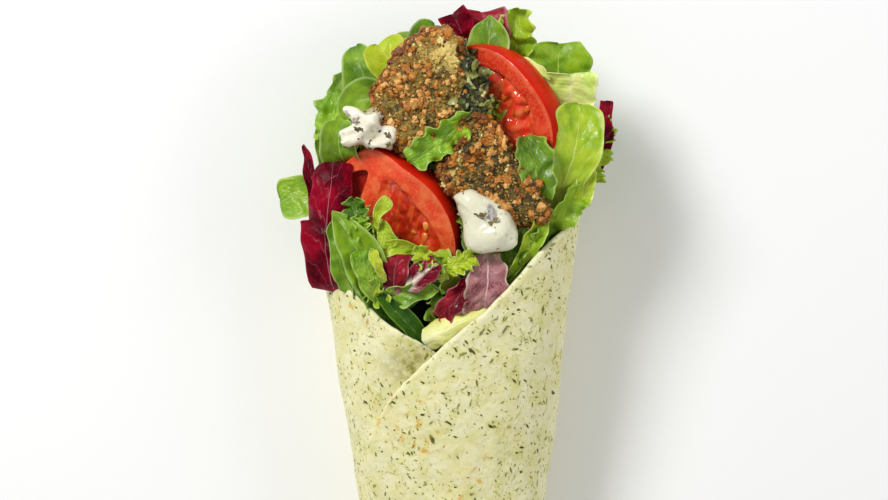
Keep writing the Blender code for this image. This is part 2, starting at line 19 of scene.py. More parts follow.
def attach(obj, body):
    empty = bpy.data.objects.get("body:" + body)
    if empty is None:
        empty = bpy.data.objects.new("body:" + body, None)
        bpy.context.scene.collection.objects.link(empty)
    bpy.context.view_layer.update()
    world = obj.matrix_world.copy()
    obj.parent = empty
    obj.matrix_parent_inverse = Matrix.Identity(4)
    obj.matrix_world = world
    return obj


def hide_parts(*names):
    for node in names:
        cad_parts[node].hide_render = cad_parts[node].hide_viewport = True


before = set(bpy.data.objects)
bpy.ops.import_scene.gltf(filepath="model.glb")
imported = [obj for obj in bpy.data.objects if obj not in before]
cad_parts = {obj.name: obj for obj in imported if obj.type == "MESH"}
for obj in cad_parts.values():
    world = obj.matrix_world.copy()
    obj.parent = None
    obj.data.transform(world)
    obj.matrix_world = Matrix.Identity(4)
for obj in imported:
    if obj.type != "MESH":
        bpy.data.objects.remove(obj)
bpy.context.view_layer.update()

logging.basicConfig(level=logging.INFO, format="%(message)s")
LOG = logging.getLogger("wrap")

MM = 0.001
BODY = "root"
GOLDEN_ANGLE, GOLDEN_SHARE = 2.399, 0.618  # spread seeded shifts evenly
RED_SEED = 200  # keeps the radicchio's seeds clear of the green leaves'
Pair = tuple[float, float]
Triple = tuple[float, float, float]
Four = tuple[float, float, float, float]
Keys = Sequence[Pair]
Array = np.ndarray


# Numbers and shapes

def smooth_step(low: float, high: float, x: Any) -> Any:
    """A smooth rise of x from 0 at low to 1 at high, or a fall where low is above high."""
    t = np.clip((x - low) / (high - low), 0, 1)
    return t * t * (3 - 2 * t)


def smooth_keys(keys: Keys, x: Any) -> Array:
    """Read a smooth curve.

    Args:
        keys: the (position, value) pairs that it goes through, in rising order.
        x: where to read it.

    Returns:
        Its values, flat outside the keys.
    """
    at, value = np.array(keys, float).T
    x = np.clip(np.asarray(x, float), at[0], at[-1])
    wide = np.pad(np.array(keys, float), ((1, 1), (0, 0)), "edge")
    run, rise = (wide[2:] - wide[:-2]).T
    slope = rise / run
    i = np.clip(np.searchsorted(at, x, side="right") - 1, 0, len(at) - 2)
    span = at[i + 1] - at[i]
    t = (x - at[i]) / span
    return ((2 * t**3 - 3 * t**2 + 1) * value[i] + (t**3 - 2 * t**2 + t) * span * slope[i]
            + (3 * t**2 - 2 * t**3) * value[i + 1] + (t**3 - t**2) * span * slope[i + 1])


def evenly(values: Sequence[float], t: Any) -> Array:
    """Read at t a smooth curve through values that are evenly spaced from 0 to 1."""
    return smooth_keys([(i / (len(values) - 1), value) for i, value in enumerate(values)], t)


def stacked(*parts: Any) -> Array:
    """Arrays, spread to one shape, as the entries of a new last axis."""
    return np.stack(np.broadcast_arrays(*parts), axis=-1)


def unit(vectors: Array) -> Array:
    """Vectors of length 1 that point the same ways."""
    return vectors / np.maximum(np.linalg.norm(vectors, axis=-1, keepdims=True), 1e-9)


def grid_normals(points: Array) -> Array:
    """A grid surface's unit normals, along the cross product of its column and row directions."""
    return unit(np.cross(np.gradient(points, axis=1), np.gradient(points, axis=0)))


def grid_faces(at: Array) -> list[tuple[int, ...]]:
    """Quads between the neighbours in a grid of points' numbers."""
    quads = np.stack([at[:-1, :-1], at[:-1, 1:], at[1:, 1:], at[1:, :-1]], axis=-1)
    return [tuple(quad) for quad in quads.reshape(-1, 4).tolist()]


class NoiseField:
    """Smooth seeded noise in three dimensions, from about -1 to 1."""

    SIZE = 256
    STRENGTH = 1.6

    def __init__(self, seed: int) -> None:
        """Draw the field's gradients.

        Args:
            seed: a number that picks the field.
        """
        draw = np.random.default_rng(seed)
        self.order = draw.permutation(self.SIZE)
        self.gradients = unit(draw.normal(size=(self.SIZE, 3)))

    def at(self, points: Array, spacing: float) -> Array:
        """Read the field.

        Args:
            points: any array of points.
            spacing: the size of the noise's bumps.

        Returns:
            One value for each point.
        """
        scaled = points / spacing
        cell = np.floor(scaled).astype(int)
        inside = scaled - cell
        fade = inside**3 * (inside * (inside * 6 - 15) + 10)
        total = np.zeros(points.shape[:-1])
        for corner in np.ndindex(2, 2, 2):
            x, y, z = np.moveaxis((cell + corner) % self.SIZE, -1, 0)
            pick = self.order[(self.order[(self.order[x] + y) % self.SIZE] + z) % self.SIZE]
            slope = (self.gradients[pick] * (inside - corner)).sum(-1)
            total += slope * np.prod(np.where(corner, fade, 1 - fade), axis=-1)
        return total * self.STRENGTH


COARSE, FINE = NoiseField(11), NoiseField(23)


@dataclass
class Shape:
    """A mesh in the making, in millimetres, with values at its points for materials to read."""

    points: Array
    faces: list[tuple[int, ...]]
    values: dict[str, Array]
    slots: Array | None = None

    @staticmethod
    def joined(shapes: "Sequence[Shape]") -> "Shape":
        """Put shapes that hold the same values into one.

        Args:
            shapes: the shapes, at least one.

        Returns:
            All of their points and faces.
        """
        faces, start = [], 0
        for shape in shapes:
            faces += [tuple(corner + start for corner in face) for face in shape.faces]
            start += len(shape.points)
        values = {name: np.concatenate([shape.values[name] for shape in shapes])
                  for name in shapes[0].values}
        return Shape(np.concatenate([shape.points for shape in shapes]), faces, values)

    def piece(self, name: str, slot: str, node: str, *finishes: "Finish", sharp: float = 50.0) -> None:
        """Make the object, riding on the wrap's body, and let it stand for its node.

        Args:
            name: the object's name.
            slot: the name of a material slot; not used.
            node: the node that it stands for.
            finishes: its materials, in the order that slots counts them.
            sharp: edges that turn by more degrees than this are shaded sharp.
        """
        mesh = bpy.data.meshes.new(name)
        mesh.from_pydata(self.points * MM, [], self.faces)
        for label, array in self.values.items():
            kind, field = ("FLOAT_VECTOR", "vector") if array.ndim == 2 else ("FLOAT", "value")
            layer = mesh.attributes.new(label, kind, "POINT")
            layer.data.foreach_set(field, array.astype(np.float32).ravel())
        if self.slots is not None:
            mesh.polygons.foreach_set("material_index", self.slots.astype(np.int32))
        mesh.validate()
        mesh.shade_smooth()
        mesh.set_sharp_from_angle(angle=math.radians(sharp))
        for finish in finishes:
            mesh.materials.append(finish.material())
        solid = bmesh.new()
        solid.from_mesh(mesh)
        if solid.calc_volume(signed=True) < 0:
            bmesh.ops.reverse_faces(solid, faces=solid.faces)
        solid.to_mesh(mesh)
        solid.free()
        made = place_object(name, mesh)
        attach(made, BODY)
        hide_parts(node)
        LOG.info("%s: %d faces", name, len(mesh.polygons))


def place_object(name: str, data: bpy.types.ID) -> bpy.types.Object:
    """Make an object of its data and put it in the scene.

    Args:
        name: the object's name.
        data: its mesh, light or camera.

    Returns:
        The object.
    """
    made = bpy.data.objects.new(name, data)
    bpy.context.scene.collection.objects.link(made)
    return made


def plate(middle: Array, half: Array, label: str, value: Array) -> Shape:
    """A closed thin shape round a grid surface.

    Args:
        middle: rows by columns by 3, the surface in the middle of the thickness.
        half: half the thickness at each point, rows by columns.
        label: the name of a vector that the points hold.
        value: the vectors, rows by columns by 3.

    Returns:
        The shape, with a value "under" that is 0 on the normals' side and 1 on the other.
    """
    out = grid_normals(middle) * half[..., None]
    at = np.arange(half.size).reshape(half.shape)
    faces = grid_faces(at) + [tuple(reversed(face)) for face in grid_faces(at + at.size)]
    edge = [*at[0], *at[1:, -1], *at[-1, -2::-1], *at[-2:0:-1, 0]]
    faces += [(int(b), int(a), int(a) + at.size, int(b) + at.size)
              for a, b in zip(edge, edge[1:] + edge[:1])]
    points = np.stack([middle + out, middle - out]).reshape(-1, 3)
    return Shape(points, faces, {label: np.concatenate([value.reshape(-1, 3)] * 2),
                                 "under": np.repeat([0, 1], at.size)})


def tube(rings: Array, **values: Array) -> Shape:
    """A closed shape through rings of points, with a face over each end.

    Args:
        rings: rings by points by 3.
        values: rings by points arrays, with or without a last axis of 3.

    Returns:
        The shape.
    """
    count, sides = rings.shape[:2]
    at = np.arange(count * sides).reshape(count, sides)
    faces = grid_faces(np.concatenate([at, at[:, :1]], axis=1))
    faces += [tuple(at[0, ::-1].tolist()), tuple(at[-1].tolist())]
    flat = {name: array.reshape(at.size, *array.shape[2:]) for name, array in values.items()}
    return Shape(rings.reshape(-1, 3), faces, flat)


# Shaders

class Wire:
    """An output of a graph's node. Arithmetic on it adds the nodes that work it out."""

    def __init__(self, graph: "ShaderGraph", socket: bpy.types.NodeSocket) -> None:
        """Hold an output and its graph."""
        self.graph, self.socket = graph, socket

    def __add__(self, other: Any) -> "Wire":
        """The sum."""
        return self.graph.math("ADD", self, other)

    def __sub__(self, other: Any) -> "Wire":
        """The difference."""
        return self.graph.math("SUBTRACT", self, other)

    def __rsub__(self, other: float) -> "Wire":
        """The difference from a number."""
        return self.graph.math("SUBTRACT", other, self)

    def __mul__(self, other: Any) -> "Wire":
        """The product, or a vector's multiple."""
        return self.graph.math("MULTIPLY" if self.socket.type == "VALUE" else "SCALE", self, other)

    def __abs__(self) -> "Wire":
        """The size without its sign."""
        return self.graph.math("ABSOLUTE", self)


class ShaderGraph:
    """Adds and joins the nodes of one node tree."""

    STEP, IN_ROW = 190, 8

    def __init__(self, tree: bpy.types.NodeTree) -> None:
        """Start on a tree."""
        self.tree, self.count = tree, 0

    def feed(self, socket: bpy.types.NodeSocket, value: Any) -> None:
        """Give a socket a link or a plain value.

        Args:
            socket: the input.
            value: a wire, a number, a colour of three or a vector.
        """
        if isinstance(value, Wire):
            self.tree.links.new(value.socket, socket)
        else:
            socket.default_value = (*value, 1) if socket.type == "RGBA" else value

    def add(self, kind: str, inputs: dict[Any, Any], **settings: Any) -> dict[Any, Wire]:
        """Add a node.

        Args:
            kind: its type, without the leading "ShaderNode".
            inputs: what to feed to its inputs, by name or number.
            settings: values for its own settings.

        Returns:
            Its outputs, by name and by number.
        """
        node = self.tree.nodes.new("ShaderNode" + kind)
        node.location = (self.STEP * (self.count % self.IN_ROW), -self.STEP * (self.count // self.IN_ROW))
        self.count += 1
        for name, value in settings.items():
            setattr(node, name, value)
        for key, value in inputs.items():
            self.feed(node.inputs[key], value)
        return {key: Wire(self, out) for i, out in enumerate(node.outputs) for key in (i, out.name)}

    def math(self, operation: str, *values: Any) -> Wire:
        """One step of arithmetic, on vectors where the first value is one.

        Args:
            operation: the Math or Vector Math node's operation.
            values: its inputs; for SCALE, a vector and a number.

        Returns:
            The result, a number for LENGTH.
        """
        vectors = isinstance(values[0], Wire) and values[0].socket.type != "VALUE"
        keys = (0, "Scale") if operation == "SCALE" else range(3)
        made = self.add("VectorMath" if vectors else "Math", dict(zip(keys, values)), operation=operation)
        return made["Vector" if vectors and operation != "LENGTH" else "Value"]

    def rise(self, value: Any, low: float, high: Any, bottom: Any = 0.0, top: Any = 1.0) -> Wire:
        """A smooth rise of a value from bottom, where it is low, to top, where it is high."""
        inputs = dict(enumerate((value, low, high, bottom, top)))
        return self.add("MapRange", inputs, interpolation_type="SMOOTHSTEP")[0]

    def mix(self, factor: Any, first: Any, second: Any) -> Wire:
        """A colour between two; the factor is how much of the second shows."""
        return self.add("Mix", {0: factor, 6: first, 7: second}, data_type="RGBA")[2]

    def noise(self, vector: Any, size: float, detail: float = 2.0, rough: float = 0.5,
              warp: float = 0.0) -> Wire:
        """Cloudy noise from about 0.25 to 0.75, its patches of a size in the vector's unit."""
        return self.add("TexNoise", {"Vector": vector, "Scale": 1 / size, "Detail": detail,
                                     "Roughness": rough, "Distortion": warp})["Fac"]

    def gloss(self, vector: Any, size: float, low: float, high: float) -> Wire:
        """A roughness that wanders between two values, over patches of a size."""
        return self.rise(self.noise(vector, size), 0.3, 0.7, low, high)

    def cells(self, vector: Any, feature: str = "F1", flat: bool = False) -> dict[Any, Wire]:
        """A cell pattern's outputs, with cells of size 1; a flat one reads X and Y alone."""
        return self.add("TexVoronoi", {"Vector": vector, "Scale": 1}, feature=feature,
                        voronoi_dimensions="2D" if flat else "3D")

    def split(self, vector: Any) -> tuple[Wire, Wire, Wire]:
        """The X, Y and Z of a vector."""
        made = self.add("SeparateXYZ", {0: vector})
        return made[0], made[1], made[2]

    def join(self, x: Any, y: Any, z: Any = 0.0) -> Wire:
        """A vector from three numbers."""
        return self.add("CombineXYZ", {0: x, 1: y, 2: z})[0]

    def place_mm(self) -> Wire:
        """Where a point is, in millimetres."""
        return self.add("TexCoord", {})["Object"] * (1 / MM)

    def held(self, label: str, kind: str = "Vector") -> Wire:
        """What the mesh holds at its points: a Vector, or a number as Fac."""
        return self.add("Attribute", {}, attribute_name=label)[kind]

    def place(self, effect: "Effect", **values: Any) -> dict[Any, Wire]:
        """The outputs of a shared effect, fed with values whose names have _ for a space."""
        inputs = {name.replace("_", " "): value for name, value in values.items()}
        return self.add("Group", inputs, node_tree=effect.tree())

    def bump(self, height: Any, depth: float, before: Wire | None = None) -> Wire:
        """Relief too fine for the mesh: height 1 stands for depth in millimetres, over what is before."""
        inputs = {"Height": height, "Distance": depth * MM} | ({"Normal": before} if before else {})
        return self.add("Bump", inputs)[0]


class Effect:
    """A pattern that several materials use, built once as a node group."""

    NAME = ""
    INPUTS: dict[str, float | Triple] = {}

    def tree(self) -> bpy.types.NodeTree:
        """Find the group, or build it.

        Returns:
            The group's tree.
        """
        if self.NAME in bpy.data.node_groups:
            return bpy.data.node_groups[self.NAME]
        tree = bpy.data.node_groups.new(self.NAME, "ShaderNodeTree")
        for name, value in self.INPUTS.items():
            kind = "NodeSocketVector" if isinstance(value, tuple) else "NodeSocketFloat"
            tree.interface.new_socket(name=name, in_out="INPUT", socket_type=kind).default_value = value
        graph = ShaderGraph(tree)
        entry = tree.nodes.new("NodeGroupInput")
        results = self.build(graph, {out.name: Wire(graph, out) for out in entry.outputs})
        for name in results:
            tree.interface.new_socket(name=name, in_out="OUTPUT", socket_type="NodeSocketFloat")
        leave = tree.nodes.new("NodeGroupOutput")
        for name, wire in results.items():
            graph.feed(leave.inputs[name], wire)
        return tree

    def build(self, graph: ShaderGraph, given: dict[str, Wire]) -> dict[str, Wire]:
        """The results by name, from the group's inputs by name."""
        raise NotImplementedError


class LeafVeins(Effect):
    """A leaf's midrib, the side veins that leave it in turn, and the network between them."""

    NAME = "Leaf veins"
    INPUTS = {"Leaf": (0, 0, 0), "Side Veins": 6, "Slant": 0.35, "Midrib Width": 0.1, "Vein Width": 0.12,
              "Network Cells": 9.0}

    def build(self, graph: ShaderGraph, given: dict[str, Wire]) -> dict[str, Wire]:
        """Make the veins.

        Args:
            graph: the group's nodes.
            given: the group's inputs by name.

        Returns:
            Masks of the midrib, side veins and network, and of the swellings between them.
        """
        across, along, seed = graph.split(given["Leaf"])
        wander = graph.noise(given["Leaf"] * 3, 1) - 0.5
        across = across + wander * 0.12
        away = abs(across)
        midrib = graph.rise(away, given["Midrib Width"] * (1.08 - along), 0)
        slant = graph.math("POWER", away, 0.8) * given["Slant"]
        turn = graph.math("GREATER_THAN", across, 0) * 0.45
        phase = (along - slant) * given["Side Veins"] + turn + wander * 0.9
        off = abs(graph.math("FRACT", phase) - 0.5)
        side = graph.rise(off, given["Vein Width"] * (1.1 - away), 0)
        net = graph.join(across * 0.5, along, seed) * given["Network Cells"]
        return {"Midrib": midrib, "Side Veins": side,
                "Network": graph.rise(graph.cells(net, "DISTANCE_TO_EDGE")["Distance"], 0.09, 0),
                "Cells": graph.rise(graph.cells(net, "SMOOTH_F1")["Distance"], 0.75, 0.1)}


class Flecks(Effect):
    """Short strokes scattered over a flat surface, each with its own size and direction."""

    NAME = "Flecks"
    INPUTS = {"Place": (0, 0, 0), "Cell": 4, "Length": 1, "Width": 0.4, "Share": 0.5, "Shift": 0,
              "Bend": 0.6}

    def build(self, graph: ShaderGraph, given: dict[str, Wire]) -> dict[str, Wire]:
        """Make the strokes.

        Args:
            graph: the group's nodes.
            given: the group's inputs by name.

        Returns:
            Their mask, the soft halo round them, and each stroke's random number.
        """
        shifted = given["Place"] + graph.join(given["Shift"], given["Shift"])
        bend = graph.add("TexNoise", {"Vector": shifted, "Scale": 0.9})["Color"] - (0.5, 0.5, 0.5)
        scaled = (shifted + bend * given["Bend"]) * graph.math("DIVIDE", 1, given["Cell"])
        cell = graph.cells(scaled, flat=True)
        away = (scaled - cell["Position"]) * given["Cell"]
        turn, size, draw = graph.split(cell["Color"])
        spin = graph.add("VectorRotate", {"Vector": away, "Angle": turn * math.pi}, rotation_type="Z_AXIS")
        along, across, _ = graph.split(spin[0])
        size = size * 0.75 + 0.3
        long = graph.math("DIVIDE", along, given["Length"] * size)
        wide = graph.math("DIVIDE", across, given["Width"] * size)
        reach = graph.math("SQRT", long * long + wide * wide)
        there = graph.math("LESS_THAN", draw, given["Share"])
        return {"Mask": graph.rise(reach, 1.15, 0.7) * there, "Draw": turn,
                "Halo": graph.rise(reach, 2.6, 0.8) * there}


class Speckle(Effect):
    """Fine light grains, as in wet fruit flesh or fried crumb."""

    NAME = "Speckle"
    INPUTS = {"Place": (0, 0, 0), "Size": 0.5, "Share": 0.5}

    def build(self, graph: ShaderGraph, given: dict[str, Wire]) -> dict[str, Wire]:
        """Make the grains.

        Args:
            graph: the group's nodes.
            given: the group's inputs by name.

        Returns:
            Their mask.
        """
        cell = graph.cells(given["Place"] * graph.math("DIVIDE", 1, given["Size"]))
        there = graph.math("LESS_THAN", graph.split(cell["Color"])[0], given["Share"])
        return {"Mask": graph.rise(cell["Distance"], 0.55, 0.1) * there}


# Finishes

def soft(share: float, reach: Triple, scale: float) -> dict[str, Any]:
    """Let a share of the light into a surface, its red, green and blue as far as reach * scale mm."""
    return {"Subsurface Weight": share, "Subsurface Radius": reach, "Subsurface Scale": scale * MM}


class Finish:
    """A surface that is made once and shared by the pieces that have it."""

    name: str

    def material(self) -> bpy.types.Material:
        """Find the material, or make it.

        Returns:
            The material.
        """
        if self.name not in bpy.data.materials:
            made = bpy.data.materials.new(self.name)
            made.use_nodes = True
            graph = ShaderGraph(made.node_tree)
            for name, value in self.surface(graph).items():
                graph.feed(made.node_tree.nodes["Principled BSDF"].inputs[name], value)
        return bpy.data.materials[self.name]

    def surface(self, graph: ShaderGraph) -> dict[str, Any]:
        """What to feed to the Principled node's inputs, by name."""
        raise NotImplementedError


@dataclass(frozen=True)
class TortillaFinish(Finish):
    """Soft wheat dough, steamed and floured, full of chopped herb."""

    name: str = "tortilla_dough"
    cream: Triple = (0.825, 0.77, 0.385)
    light: Triple = (0.87, 0.835, 0.52)
    leafy: Triple = (0.62, 0.62, 0.13)
    herb: Triple = (0.030, 0.032, 0.001)
    faint: Triple = (0.36, 0.36, 0.055)
    toast: Triple = (0.74, 0.36, 0.012)
    # The flap's painted shadow beside its edge, in the colour of damp dough
    damp_and_shadow: Triple = (0.27, 0.24, 0.035)
    # A painted highlight along the sheet's cut edge
    edge: Triple = (0.93, 0.91, 0.72)

    # Cell, length, width, share, shift, bend and strength of each size of herb, in millimetres
    HERBS = ((1.4, 0.45, 0.20, 0.34, 3, 0.8, 0.55), (2.3, 0.95, 0.26, 0.38, 17, 0.9, 0.60),
             (4.2, 1.80, 0.30, 0.32, 31, 1.2, 0.65))
    STRONG = ((1.9, 0.50, 0.27, 0.32, 57, 0.7, 1), (3.3, 0.92, 0.38, 0.50, 71, 0.9, 1),
              (7, 1.60, 0.52, 0.60, 93, 1, 1))
    # X and Y on the sheet, reach and strength of the patches beside the flap: painted shadow of the flap,
    # mottled like damp dough
    DAMP_AND_SHADOW = ((68, -7, 13, 1), (77, -8, 8, 0.4), (79, -19, 9, 0.3), (62, 0, 7, 0.7))
    # X, Y and reach of the places that the griddle toasted, with the share of flecks there
    TOASTED = ((296, -27, 15, 1), (272, -48, 18, 0.35), (88, 6, 9, 0.6), (82, -21, 6, 0.5))

    def surface(self, graph: ShaderGraph) -> dict[str, Any]:
        """Paint the herby dough.

        Args:
            graph: the material's nodes.

        Returns:
            The Principled node's inputs by name.
        """
        sheet = graph.held("sheet")
        colour = graph.mix(graph.rise(graph.noise(sheet, 7, 4, 0.65), 0.4, 0.6), self.cream, self.light)
        patches = graph.rise(graph.noise(sheet, 8, 4, 0.6, 0.4), 0.48, 0.7)
        colour = graph.mix(patches * 0.4, colour, self.leafy)
        crowd = graph.rise(graph.noise(sheet, 15), 0.36, 0.62, 0.3, 1.25)
        mottled = graph.rise(graph.noise(sheet, 3, 4, 0.7), 0.35, 0.65, 0.35, 1.2)
        # Painted shadow beside the flap's edge, mottled like damp dough
        for x, y, reach, depth in self.DAMP_AND_SHADOW:
            away = graph.math("LENGTH", sheet - (x, y, 0))
            colour = graph.mix(graph.rise(away, reach, 0, 0, depth) * mottled, colour, self.damp_and_shadow)
        for sizes, ink in ((self.HERBS, self.faint), (self.STRONG, self.herb)):
            for cell, length, width, share, shift, bend, depth in sizes:
                fleck = graph.place(Flecks(), Place=sheet, Cell=cell, Length=length, Width=width,
                                    Share=crowd * share, Shift=shift, Bend=bend)
                strength = graph.rise(fleck["Draw"], 0, 1, 0.6 * depth, depth)
                colour = graph.mix(fleck["Halo"] * (0.4 * depth), colour, self.leafy)
                colour = graph.mix(fleck["Mask"] * strength, colour, ink)
        warm: Any = 0
        for x, y, reach, share in self.TOASTED:
            away = graph.math("LENGTH", sheet - (x, y, 0))
            warm = graph.math("MAXIMUM", warm, graph.rise(away, reach, reach * 0.5, 0, share))
        toasted = graph.place(Flecks(), Place=sheet, Cell=4.6, Length=0.85, Width=0.42, Share=warm,
                              Shift=11, Bend=1.2)["Halo"]
        grain = graph.rise(graph.noise(sheet, 1.1, 3, 0.7), 0.36, 0.6, 0.4, 1)
        colour = graph.mix(toasted * grain * 0.8, colour, self.toast)
        # Painted highlight within the last 0.7 mm of the sheet's edge
        colour = graph.mix(graph.rise(graph.split(sheet)[2], 0.7, 0.1, 0, 0.45), colour, self.edge)
        dimples = graph.bump(graph.noise(sheet, 6.5, 3), 1.1)
        return {"Base Color": colour, "Roughness": graph.gloss(sheet, 5, 0.5, 0.72),
                "Normal": graph.bump(graph.noise(sheet, 0.7, 3, 0.6), 0.08, dimples),
                **soft(0.08, (1, 0.8, 0.4), 0.8)}


@dataclass(frozen=True)
class LeafFinish(Finish):
    """A salad leaf: its blade, veins, paler base and edge. The edge is paler partly as a painted highlight
    where it curls to the light, and painted shade darkens the creases between its swellings.
    """

    name: str
    deep: Triple
    bright: Triple
    vein: Triple
    base: Triple
    edge: Triple
    under: Triple
    base_reach: float = 0.35  # how far up the leaf its pale base goes
    edge_share: float = 0.6
    side_veins: float = 6.0
    midrib_width: float = 0.09
    vein_width: float = 0.1
    vein_share: float = 0.3
    network_share: float = 0.05
    cells: float = 10.0
    roughness: float = 0.34
    relief: float = 0.14  # millimetres
    shine: float = 0.28
    crease_shade: float = 0.15  # how much painted shade darkens the blade in the creases between its swellings

    def surface(self, graph: ShaderGraph) -> dict[str, Any]:
        """Paint the leaf.

        Args:
            graph: the material's nodes.

        Returns:
            The Principled node's inputs by name.
        """
        place, leaf = graph.place_mm(), graph.held("leaf")
        across, along, seed = graph.split(leaf)
        away = abs(across)
        veins = graph.place(LeafVeins(), Leaf=leaf, Side_Veins=self.side_veins,
                            Midrib_Width=self.midrib_width, Vein_Width=self.vein_width,
                            Network_Cells=self.cells)
        patches = graph.noise(place + graph.join(seed, seed, seed), 9)
        colour = graph.mix(graph.rise(patches, 0.36, 0.64), self.deep, self.bright)
        fine = graph.rise(graph.noise(place, 2.2, 3, 0.6), 0.35, 0.7)
        colour = graph.mix(fine * 0.3, colour, self.bright)
        paler = graph.rise(along, self.base_reach, 0) * graph.rise(away, 1.1, 0.2)
        colour = graph.mix(paler, colour, self.base)
        # Painted shade in the creases between the swellings
        colour = graph.mix((1 - veins["Cells"]) * self.crease_shade, colour, self.deep)
        # A paler edge, partly a painted highlight where the curled rim catches the light
        colour = graph.mix(graph.rise(away, 0.86, 0.97) * self.edge_share, colour, self.edge)
        side = veins["Side Veins"] * self.vein_share
        net = veins["Network"] * self.network_share
        colour = graph.mix(graph.math("MAXIMUM", side, net), colour, self.vein)
        colour = graph.mix(veins["Midrib"], colour, self.vein)
        colour = graph.mix(graph.held("under", "Fac") * 0.75, colour, self.under)
        sunk = graph.math("MAXIMUM", side, veins["Midrib"]) * 0.3
        normal = graph.bump(veins["Cells"] * 0.5 - sunk, self.relief)
        return {"Base Color": colour, "Specular IOR Level": self.shine,
                "Roughness": graph.gloss(place, 2.5, self.roughness - 0.08, self.roughness + 0.12),
                "Normal": graph.bump(graph.noise(place, 1.6, 3, 0.6), 0.16, normal),
                **soft(0.2, (0.6, 1, 0.25), 0.9)}


@dataclass(frozen=True)
class TomatoSkinFinish(Finish):
    """Taut glossy skin, between red and orange in soft patches."""

    name: str = "tomato_skin"
    red: Triple = (0.58, 0.014, 0.004)
    orange: Triple = (0.70, 0.020, 0.004)

    def surface(self, graph: ShaderGraph) -> dict[str, Any]:
        """Paint the skin.

        Args:
            graph: the material's nodes.

        Returns:
            The Principled node's inputs by name.
        """
        place = graph.place_mm()
        colour = graph.mix(graph.rise(graph.noise(place, 12), 0.42, 0.62), self.red, self.orange)
        specks = graph.place(Speckle(), Place=place, Size=0.9, Share=0.4)["Mask"]
        return {"Base Color": graph.mix(specks * 0.12, colour, self.orange),
                "Roughness": graph.gloss(place, 3, 0.2, 0.34), "Specular IOR Level": 0.03,
                "Normal": graph.bump(graph.noise(place, 5), 0.12), **soft(0.08, (1, 0.2, 0.08), 1.2)}


@dataclass(frozen=True)
class TomatoFleshFinish(Finish):
    """Wet cut flesh: speckled, lighter in a thin painted highlight under the skin, darker in its chambers,
    where painted shade deepens their red the further they sink.
    """

    name: str = "tomato_flesh"
    flesh: Triple = (0.84, 0.060, 0.012)
    pale: Triple = (0.93, 0.17, 0.045)
    # The chambers' darker red, with painted shade where the face sinks
    deep: Triple = (0.36, 0.012, 0.004)
    # A thin painted highlight along the cut edge under the skin
    rim: Triple = (0.86, 0.20, 0.08)
    speck: Triple = (0.92, 0.27, 0.11)

    def surface(self, graph: ShaderGraph) -> dict[str, Any]:
        """Paint the wet flesh.

        Args:
            graph: the material's nodes.

        Returns:
            The Principled node's inputs by name.
        """
        place = graph.place_mm()
        _, along, sunk = graph.split(graph.held("flesh"))
        colour = graph.mix(graph.rise(graph.noise(place, 5, 4, 0.65), 0.4, 0.68), self.flesh, self.pale)
        specks = graph.place(Speckle(), Place=place, Size=0.62, Share=0.5)["Mask"]
        colour = graph.mix(specks * 0.6, colour, self.speck)
        # Painted highlight: a thin light line just inside the skin
        line = graph.rise(along, 0.9, 0.935) * graph.rise(along, 0.99, 0.955)
        colour = graph.mix(line * 0.4, colour, self.rim)
        # Darker the deeper the face sinks: the chambers' red with painted shade
        return {"Base Color": graph.mix(graph.rise(sunk, 0.15, 2.2), colour, self.deep),
                "Roughness": graph.gloss(place, 1.2, 0.2, 0.42),
                "Normal": graph.bump(graph.noise(place, 0.6, 3, 0.6), 0.12), "Specular IOR Level": 0.4,
                "Coat Weight": 0.15, "Coat Roughness": 0.1, **soft(0.12, (1, 0.2, 0.08), 1.5)}


@dataclass(frozen=True)
class TomatoGelFinish(Finish):
    """The clear red jelly round the seeds, with fibres that run out from the core."""

    name: str = "tomato_gel"
    red: Triple = (0.66, 0.030, 0.008)
    orange: Triple = (0.92, 0.17, 0.035)

    def surface(self, graph: ShaderGraph) -> dict[str, Any]:
        """Paint the jelly.

        Args:
            graph: the material's nodes.

        Returns:
            The Principled node's inputs by name.
        """
        across, along, _ = graph.split(graph.held("flesh"))
        fibres = graph.join(across * 11, along * 3)
        streaks = graph.rise(graph.noise(fibres, 1, 1.5, 0.5, 0.2), 0.42, 0.7)
        return {"Base Color": graph.mix(streaks * 0.7, self.red, self.orange),
                "Roughness": graph.gloss(graph.place_mm(), 1.5, 0.05, 0.15),
                "Normal": graph.bump(streaks, 0.02), "Coat Weight": 0.45, "Coat Roughness": 0.05,
                **soft(0.2, (1, 0.25, 0.08), 1.5)}


@dataclass(frozen=True)
class TintedFinish(Finish):
    """Small bits of food, each between three colours by its own draw."""

    name: str
    dark: Triple
    middle: Triple
    light: Triple
    roughness: float = 0.5
    grain: float = 0.5  # size of the colour's grain, in millimetres
    relief: float = 0.1

    def surface(self, graph: ShaderGraph) -> dict[str, Any]:
        """Paint the bits.

        Args:
            graph: the material's nodes.

        Returns:
            The Principled node's inputs by name.
        """
        place = graph.place_mm()
        grain = graph.noise(place, self.grain, 3, 0.65) - 0.5
        draw = graph.held("tint", "Fac") + grain * 1.1
        colour = graph.mix(graph.rise(draw, 0, 0.5), self.dark, self.middle)
        return {"Base Color": graph.mix(graph.rise(draw, 0.5, 1), colour, self.light),
                "Roughness": graph.gloss(place, 1, self.roughness - 0.1, self.roughness + 0.12),
                "Normal": graph.bump(graph.noise(place, self.grain, 3), self.relief),
                **soft(0.1, (1, 0.6, 0.3), 0.8)}


